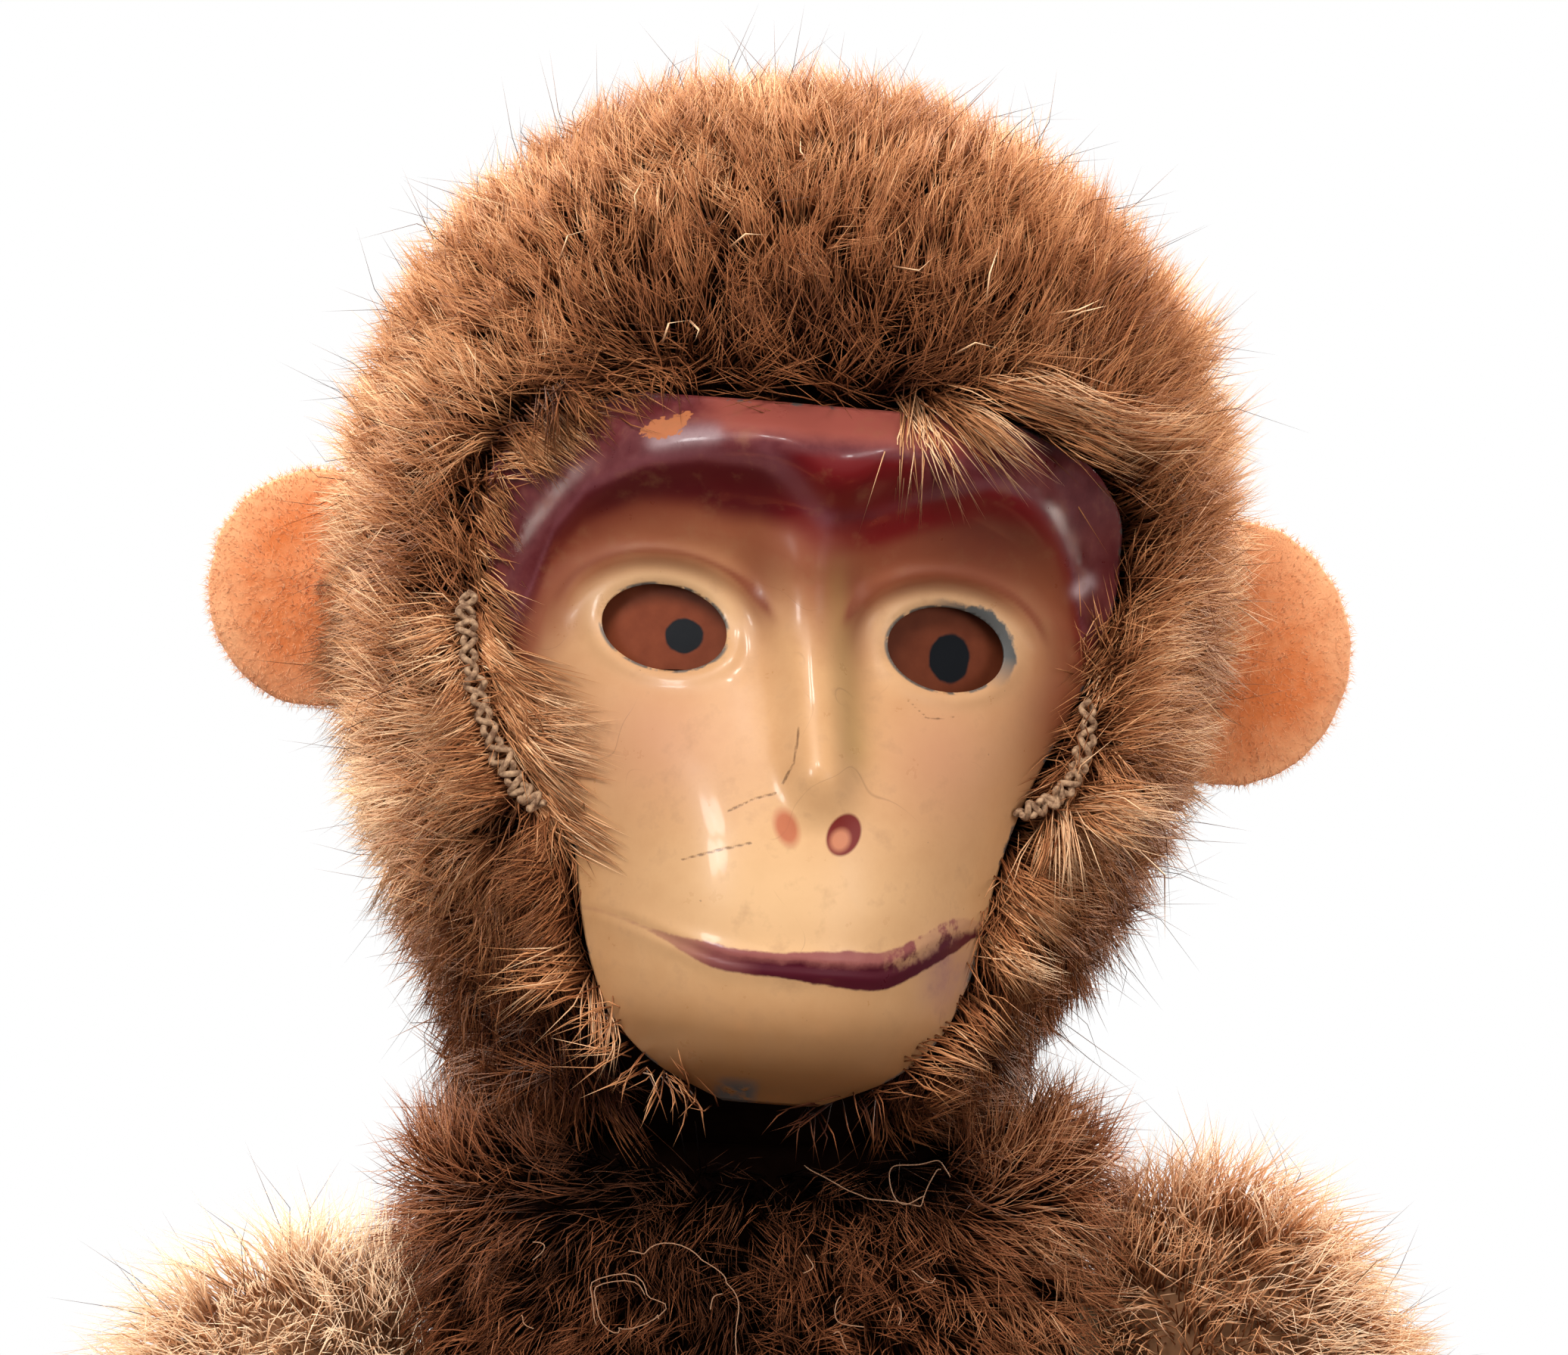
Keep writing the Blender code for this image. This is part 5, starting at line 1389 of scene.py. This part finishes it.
def grow_limb(limb):
    arm, form = limb.startswith("arm"), LIMBS[limb]
    cloth = form.skin(limb + "_cloth", ARM_CLOTH if arm else SHADOW_BLACK_CLOTH, 60, 48, inset=0.9 * MM)
    finish_piece(cloth, limb, "mohair", limb)
    shoulder_top = joints[limb + "_swing"]["pos_m"][2] / MM - 6
    thick = density_of(lambda points: 1 + 2 * soft(points[:, 2] / MM / shoulder_top, 0.8, 0.97))
    count, density = (13500, thick) if arm else (7600, None)
    roots, normals = scattered(form, count, limb_seed(limb, 400), density)
    bald = np.linalg.norm((roots[:, [0, 2]] - BALD) / BALD_HALF, axis=1) < 1
    keep = np.abs(roots[:, 0]) > (JOINT_PLANE + 0.6) * MM
    bald = (bald & (roots[:, 1] < 0))[keep]
    roots, normals = sunk(roots, normals, keep)
    comb = np.tile(-np.array(form.place)[:3, 2], (len(roots), 1))
    upper = soft(roots[:, 2] / MM, shoulder_top, shoulder_top + 14) if arm else 0
    outward = soft(np.abs(roots[:, 0]) / MM, 24, 42)
    upright, left = np.clip(normals[:, 2], 0, 1), np.clip(-normals[:, 0], 0, 1)
    longer = 3.4 * upright**2 if limb == "arm_right" else 2.4 + 1.3 * left
    tone = {"arm_left": 0.98, "arm_right": 0.44 + 0.36 * outward}.get(limb, 0.45)
    tone = tone + 0.1 * upper + 0.2 * bald
    tone = tone + 0.1 * waves(roots, 0.012, 25) + 0.06 * waves(roots, 0.004, 26)
    grow_pile(
        limb + "_pile", limb, roots, normals, comb, limb_seed(limb, 440), tone=tone, mess=0.36,
        length=(6.6 + longer * upper) * (1 - 0.78 * bald), stand=0.68 + 0.1 * upper,
        finish=FADED_MOHAIR if arm else None, lock_size=1.5,
    )


for limb in ("arm_left", "arm_right", "leg_left", "leg_right"):
    grow_limb(limb)
grow_strays(
    "body_strays", "body", BODY, 500, 350,
    lambda roots: outside_joints(roots) & (roots[:, 2] > 25 * MM),
)
for limb, seed in (("arm_left", 360), ("arm_right", 370)):
    grow_strays(
        limb + "_strays", limb, LIMBS[limb], 320, seed,
        lambda roots: np.abs(roots[:, 0]) > 30 * MM,
    )

# %% [markdown]
# Some long hairs have curled up on the chest. Each is a thread along an arc whose radius grows a
# little as it turns, laid just outside the pile.

# %% Curled hairs on the chest


def tube(name, path, radius, finish, sides=8):
    """A round thread: a circle carried along a path of points, closed at both ends."""
    ahead = unit(np.gradient(path, axis=0))
    across = unit(np.cross(ahead, np.array([0.1, 1.0, 0.05])))
    over = np.cross(across, ahead)
    around = np.linspace(0, 2 * np.pi, sides, endpoint=False)
    circle = across[:, None] * np.cos(around)[:, None] + over[:, None] * np.sin(around)[:, None]
    rings = path[:, None] + radius * circle
    piece = put_mesh(name, *closed_grid(rings, path[0], path[-1]), finish)
    fix_normals(piece)
    return piece


BLEACHED = Finish("bleached_hair", roughness=0.6, Base_Color=(0.3, 0.16, 0.09))
CURLS = [  # middle x, z; radius in mm; first and last angle
    (-11.7, 98.6, 2.0, 40, 560),
    (-9.5, 98.5, 5.4, 110, -30),
    (7.0, 111.5, 5.4, 215, 330),
    (11.0, 108.0, 1.8, 20, 260),
]
curl_rng = np.random.default_rng(31)
for i in range(12):
    first = curl_rng.uniform(0, 360)
    middle, radius = curl_rng.uniform((-22, 94), (22, 106)), curl_rng.uniform(0.8, 1.6)
    CURLS.append((*middle, radius, first, first + curl_rng.uniform(50, 120)))
for number, (x, z, radius, start, end) in enumerate(CURLS, 1):
    turn = np.radians(np.linspace(start, end, 40))
    reach = radius * MM * (1 + 0.25 * np.linspace(0, 1, 40))
    across, up = reach * np.cos(turn), 0.85 * reach * np.sin(turn)
    path = np.stack([x * MM + across, 0 * turn, z * MM + up], axis=1)
    path = path + 0.7 * MM * swirls(path, 0.003, 700 + number)
    half, deep, shift = ring_at(BODY, path[:, 2])
    bulge = np.sqrt(np.clip(1 - (path[:, 0] / half) ** 2, 0, 1))
    path[:, 1] = 0.5 * path[:, 1] - deep * bulge - shift - 4.9 * MM
    finish_piece(tube(f"chest_curl_{number}", path, 0.045 * MM, BLEACHED, 6), "body", "mohair")

# %% [markdown]
# Hands and feet are felt, stitched flat and stuffed thin. They take the ears' felt and fuzz.

# %% Hands and feet
FELT_ENDS = {
    "hand_left": "arm_left",
    "hand_right": "arm_right",
    "foot_left": "leg_left",
    "foot_right": "leg_right",
}
for limb, body in FELT_ENDS.items():
    form = LIMBS[limb]
    piece = form.skin("felt_" + limb, ORANGE_FELT, 60, 48)
    finish_piece(piece, body, "orange_felt", limb)
    roots, normals = scattered(form, 2500, limb_seed(limb, 500))
    seed = limb_seed(limb, 520)
    fuzz = felt_hairs("felt_" + limb + "_fuzz", roots, normals, 2500, seed, 0.7)
    finish_piece(fuzz, body, "orange_felt")

# %% [markdown]
# The tail is the toy's handle: a wire with a plush sleeve. The sleeve follows a gentle curve
# upward, so it is a circle carried along a path.

# %% The tail


class Sleeve:
    """A circle carried along the tail's path, with its radius shrinking to the tip."""

    place = Matrix.Identity(4)

    def points(self, along, around):
        middle = np.stack([0 * along, 32 + 78 * along, TAIL_WIRE_Z + 16 * along**2], axis=-1) * MM
        ends = np.clip(np.minimum(along, 1 - along) / 0.035, 0, 1)
        radius = (5.0 - 1.4 * along) * np.sqrt(1 - (1 - ends) ** 2) * MM
        slope = 32 * along / 78
        back = unit(np.stack([0 * slope, 0 * slope + 1, slope], axis=-1))
        side = np.broadcast_to(np.array([1.0, 0, 0]), back.shape)
        cosine, sine = np.cos(around)[..., None], np.sin(around)[..., None]
        spoke = side * cosine + np.cross(back, side) * sine
        return middle + radius[..., None] * spoke

    normals = Form.normals
    skin = Form.skin


TAIL = Sleeve()
tail_cloth = TAIL.skin("tail_cloth", SHADOW_BLACK_CLOTH, 60, 32, inset=0.6 * MM)
finish_piece(tail_cloth, "tail", "mohair", "tail")
roots, normals = scattered(TAIL, 7000, 600)
back = np.tile([0.0, 1.0, 0.2], (len(roots), 1))
grow_pile(
    "tail_pile", "tail", roots, normals, back, 610, length=4.2, width=0.16, stand=0.5,
    tone=0.45 + 0.1 * waves(roots, 0.012, 61), mess=0.4,
)

# %% [markdown]
# The steel, fibre and wood inside hardly show, but the tail's slot and the neck let one look in,
# so they get true finishes too: drawn steel with fine scratches, grey-brown fibre and plain wood.

# %% The mechanism's finishes


def steel_finish():
    finish = Finish("drawn_steel", roughness=0.4, metallic=1.0)
    where = finish.place()
    scratches = finish.noise(where, 900.0, 5.0, 0.7)
    rust = finish.noise(where, 160.0, 4.0).step(0.56, 0.72) * 0.5
    finish.set("Base Color", finish.blend(rust, (0.42, 0.42, 0.43), (0.2, 0.1, 0.05)))
    finish.set("Roughness", 0.3 + scratches * 0.25 + rust * 0.4)
    return finish.bump(scratches, 0.04 * MM, 0.3)


def board_finish(name, dark, light, scale):
    finish = Finish(name, roughness=0.8)
    grain = finish.noise(finish.place(), scale, 5.0, 0.6)
    finish.set("Base Color", finish.blend(grain, dark, light))
    return finish.bump(grain, 0.1 * MM, 0.4)


STEEL = steel_finish()
FIBRE = board_finish("fibre_board_grain", (0.16, 0.1, 0.055), (0.34, 0.23, 0.13), 800.0)
WOOD = board_finish("plain_wood", (0.4, 0.25, 0.12), (0.62, 0.43, 0.25), 300.0)
for sub in frame["record"]["subparts"]:
    metal = {"steel": STEEL, "fibre_board": FIBRE, "wood": WOOD}.get(sub["material_slot"])
    if metal and sub["node"] in frame["nodes"]:
        repaint(frame["nodes"][sub["node"]], metal)
print("mechanism finished")

# %% [markdown]
# The plush is drawn up to the tin by hand, with a thick twisted thread in a chain of stitches. A
# chain is two strands that cross and part again, so each strand is a circle carried along the
# seam's path with a wave across it, the second half a wave behind the first.

# %% Hand stitching


THREAD = Finish("linen_thread", roughness=0.85)
twist = THREAD.noise(THREAD.place(), 2200.0, 3.0)
strands = twist.step(0.35, 0.65)
THREAD.set("Base Color", THREAD.blend(strands, (0.14, 0.07, 0.038), (0.46, 0.29, 0.17)))
THREAD.bump(twist, 0.1 * MM, 0.7)
SEAMS = {
    "left": [(-24.8, 17.5), (-24.2, 13.0), (-22.6, 8.0), (-20.2, 4.0), (-18.6, 2.4)],
    "right": [(21.9, 13.0), (21.6, 9.8), (20.6, 7.0), (18.8, 5.4), (16.9, 4.4)],
}


def stitch_seam(name, anchors):
    """Two strands along the seam. Each sways as a sine of the way along it, half a turn apart."""
    share = np.linspace(0, 1, 240)
    x, z = smooth_through(np.array(anchors) * MM, share).T
    path = np.stack([x, before_face(x, z, 1.2 * MM), z], axis=-1)
    ahead = unit(np.gradient(path, axis=0))
    across = unit(np.cross(ahead, np.array([0.0, -1.0, 0.0])))
    length = np.linalg.norm(np.diff(path, axis=0), axis=1).sum()
    loops = length / (1.9 * MM)
    for number, phase in enumerate((0, np.pi)):
        wave = np.sin(2 * np.pi * loops * share + phase)[:, None]
        lift = np.cos(4 * np.pi * loops * share + phase)[:, None]
        uneven = 1 + 0.3 * waves(path, 0.0035, 80 + number)[:, None]
        strand = path + 0.5 * MM * wave * across * uneven + np.array([0, -0.25 * MM, 0]) * lift
        strand = strand + 0.16 * MM * swirls(path, 0.003, 90 + number)
        strand = placed(strand, HEAD_PLACE)
        thread = tube(f"stitches_{name}_{number + 1}", strand, 0.25 * MM, THREAD)
        finish_piece(thread, "head", "mohair")


for name, anchors in SEAMS.items():
    stitch_seam(name, anchors)

# %% [markdown]
# The studio is plain: a pale floor that fades into nothing, a world that shows white to the
# camera but lights the toy only softly, a broad lamp in front and above with a fill beside it,
# small panes for the gloss to mirror, and three lamps behind that light the tips of the pile.

# %% Floor, lamps and world


def build_floor(reach=0.9):
    """A pale disc. Towards its edge the camera sees plain white, so that it ends without a line."""
    turn = np.linspace(0, 2 * np.pi, 64, endpoint=False)
    ring = reach * np.stack([np.cos(turn), np.sin(turn), 0 * turn], axis=1)
    points = np.concatenate([ring, np.zeros((1, 3))])
    fan = np.stack([np.arange(64), (np.arange(64) + 1) % 64, np.full(64, 64)], axis=1)
    paint = Finish("studio_floor", roughness=0.9, Base_Color=(0.86, 0.86, 0.86))
    away = paint.node("ShaderNodeVectorMath", {"operation": "LENGTH"}, [paint.place()], "Value")
    white = paint.node("ShaderNodeEmission", {}, {"Color": (1.0, 1.0, 1.0), "Strength": 1.0})
    lit, far = Value(paint, paint.surface.outputs[0]), away.step(0.25, 0.6)
    mixed = paint.node("ShaderNodeMixShader", {}, [far * paint.ray("Is Camera Ray"), lit, white])
    paint.feed(paint.tree.nodes["Material Output"].inputs["Surface"], mixed)
    floor = put_mesh("studio_floor", points, [fan], paint)
    floor.visible_glossy = False
    floor.visible_diffuse = False


FACE_SPOT = Vector((0, -0.02, 0.145))


def add_lamp(name, place, size, power, color=(1, 1, 1), mirrored=True):
    """A round lamp that aims at the face. If it isn't mirrored, the gloss doesn't show it."""
    lamp = bpy.data.lights.new(name, "AREA")
    lamp.shape = "DISK"
    lamp.size = size
    lamp.energy = power
    lamp.color = color
    made = bpy.data.objects.new(name, lamp)
    made.location = place
    made.visible_glossy = mirrored
    made.rotation_euler = (FACE_SPOT - Vector(place)).to_track_quat("-Z", "Y").to_euler()
    bpy.context.scene.collection.objects.link(made)


def light_world():
    """White to the camera. As a lamp it is grey, darker below, and darker still in reflections."""
    world = bpy.data.worlds.new("studio")
    bpy.context.scene.world = world
    world.use_nodes = True
    sky = Nodes(world.node_tree)
    seen, height = sky.ray("Is Camera Ray"), sky.parts(sky.place("Generated"))[2] * 0.28
    level = height.at_least(-0.14).maths("MINIMUM", 0.14) + 0.3
    level = (level - sky.ray("Is Glossy Ray") * 0.13 + seen).maths("MINIMUM", 1.0).at_least(seen)
    background = world.node_tree.nodes["Background"].inputs
    sky.feed(background["Strength"], level)
    sky.feed(background["Color"], (1.0, 1.0, 1.0))


build_floor()
light_world()
add_lamp("front_softbox", (-0.3, -0.7, 0.75), 0.45, 7.5, (1.0, 0.97, 0.93), mirrored=False)
add_lamp("right_fill", (0.45, -0.7, 0.2), 0.4, 3.0, (1.0, 0.96, 0.92), mirrored=False)
for number, (x, z) in enumerate(((-0.56, 0.45), (-0.46, 0.45), (-0.56, 0.34), (-0.46, 0.34)), 1):
    add_lamp(f"window_pane_{number}", (x, -0.6, z), 0.09, 0.3)
for number, x in enumerate((-0.1, 0.07), 1):
    add_lamp(f"front_pane_{number}", (x, -0.7, 0.86), 0.08, 0.6)
WARM = (1.0, 0.93, 0.82)
add_lamp("left_rim", (-0.5, 0.45, 0.35), 0.35, 7, WARM)
add_lamp("right_rim", (0.5, 0.45, 0.35), 0.35, 8, WARM)
add_lamp("top_rim", (0.0, 0.35, 0.75), 0.35, 8, WARM)
print("studio lit")

# %% [markdown]
# The photograph is a close portrait, taken level with the face and a few degrees from its left. A
# long lens keeps the head's proportions, and no shift is needed.

# %% The camera
PHOTO_WIDTH = 2072
PIXELS_PER_MM = 17.6
CAMERA_AZIMUTH = math.radians(-5)
CAMERA_AWAY = 0.55
AIM = Vector((0.9, -14, 145.2)) * MM

lens = bpy.data.cameras.new("portrait")
camera = bpy.data.objects.new("portrait", lens)
backward = Vector((math.sin(CAMERA_AZIMUTH), -math.cos(CAMERA_AZIMUTH), 0))
camera.location = AIM + CAMERA_AWAY * backward
camera.rotation_euler = (AIM - camera.location).to_track_quat("-Z", "Y").to_euler()
lens.sensor_width = 36
lens.lens = 36 * CAMERA_AWAY / (PHOTO_WIDTH / PIXELS_PER_MM * MM)
lens.clip_start = 0.01
lens.dof.use_dof = False
bpy.context.scene.collection.objects.link(camera)
bpy.context.scene.camera = camera
bpy.context.scene.view_settings.view_transform = "Standard"
print("lens", round(lens.lens), "mm")
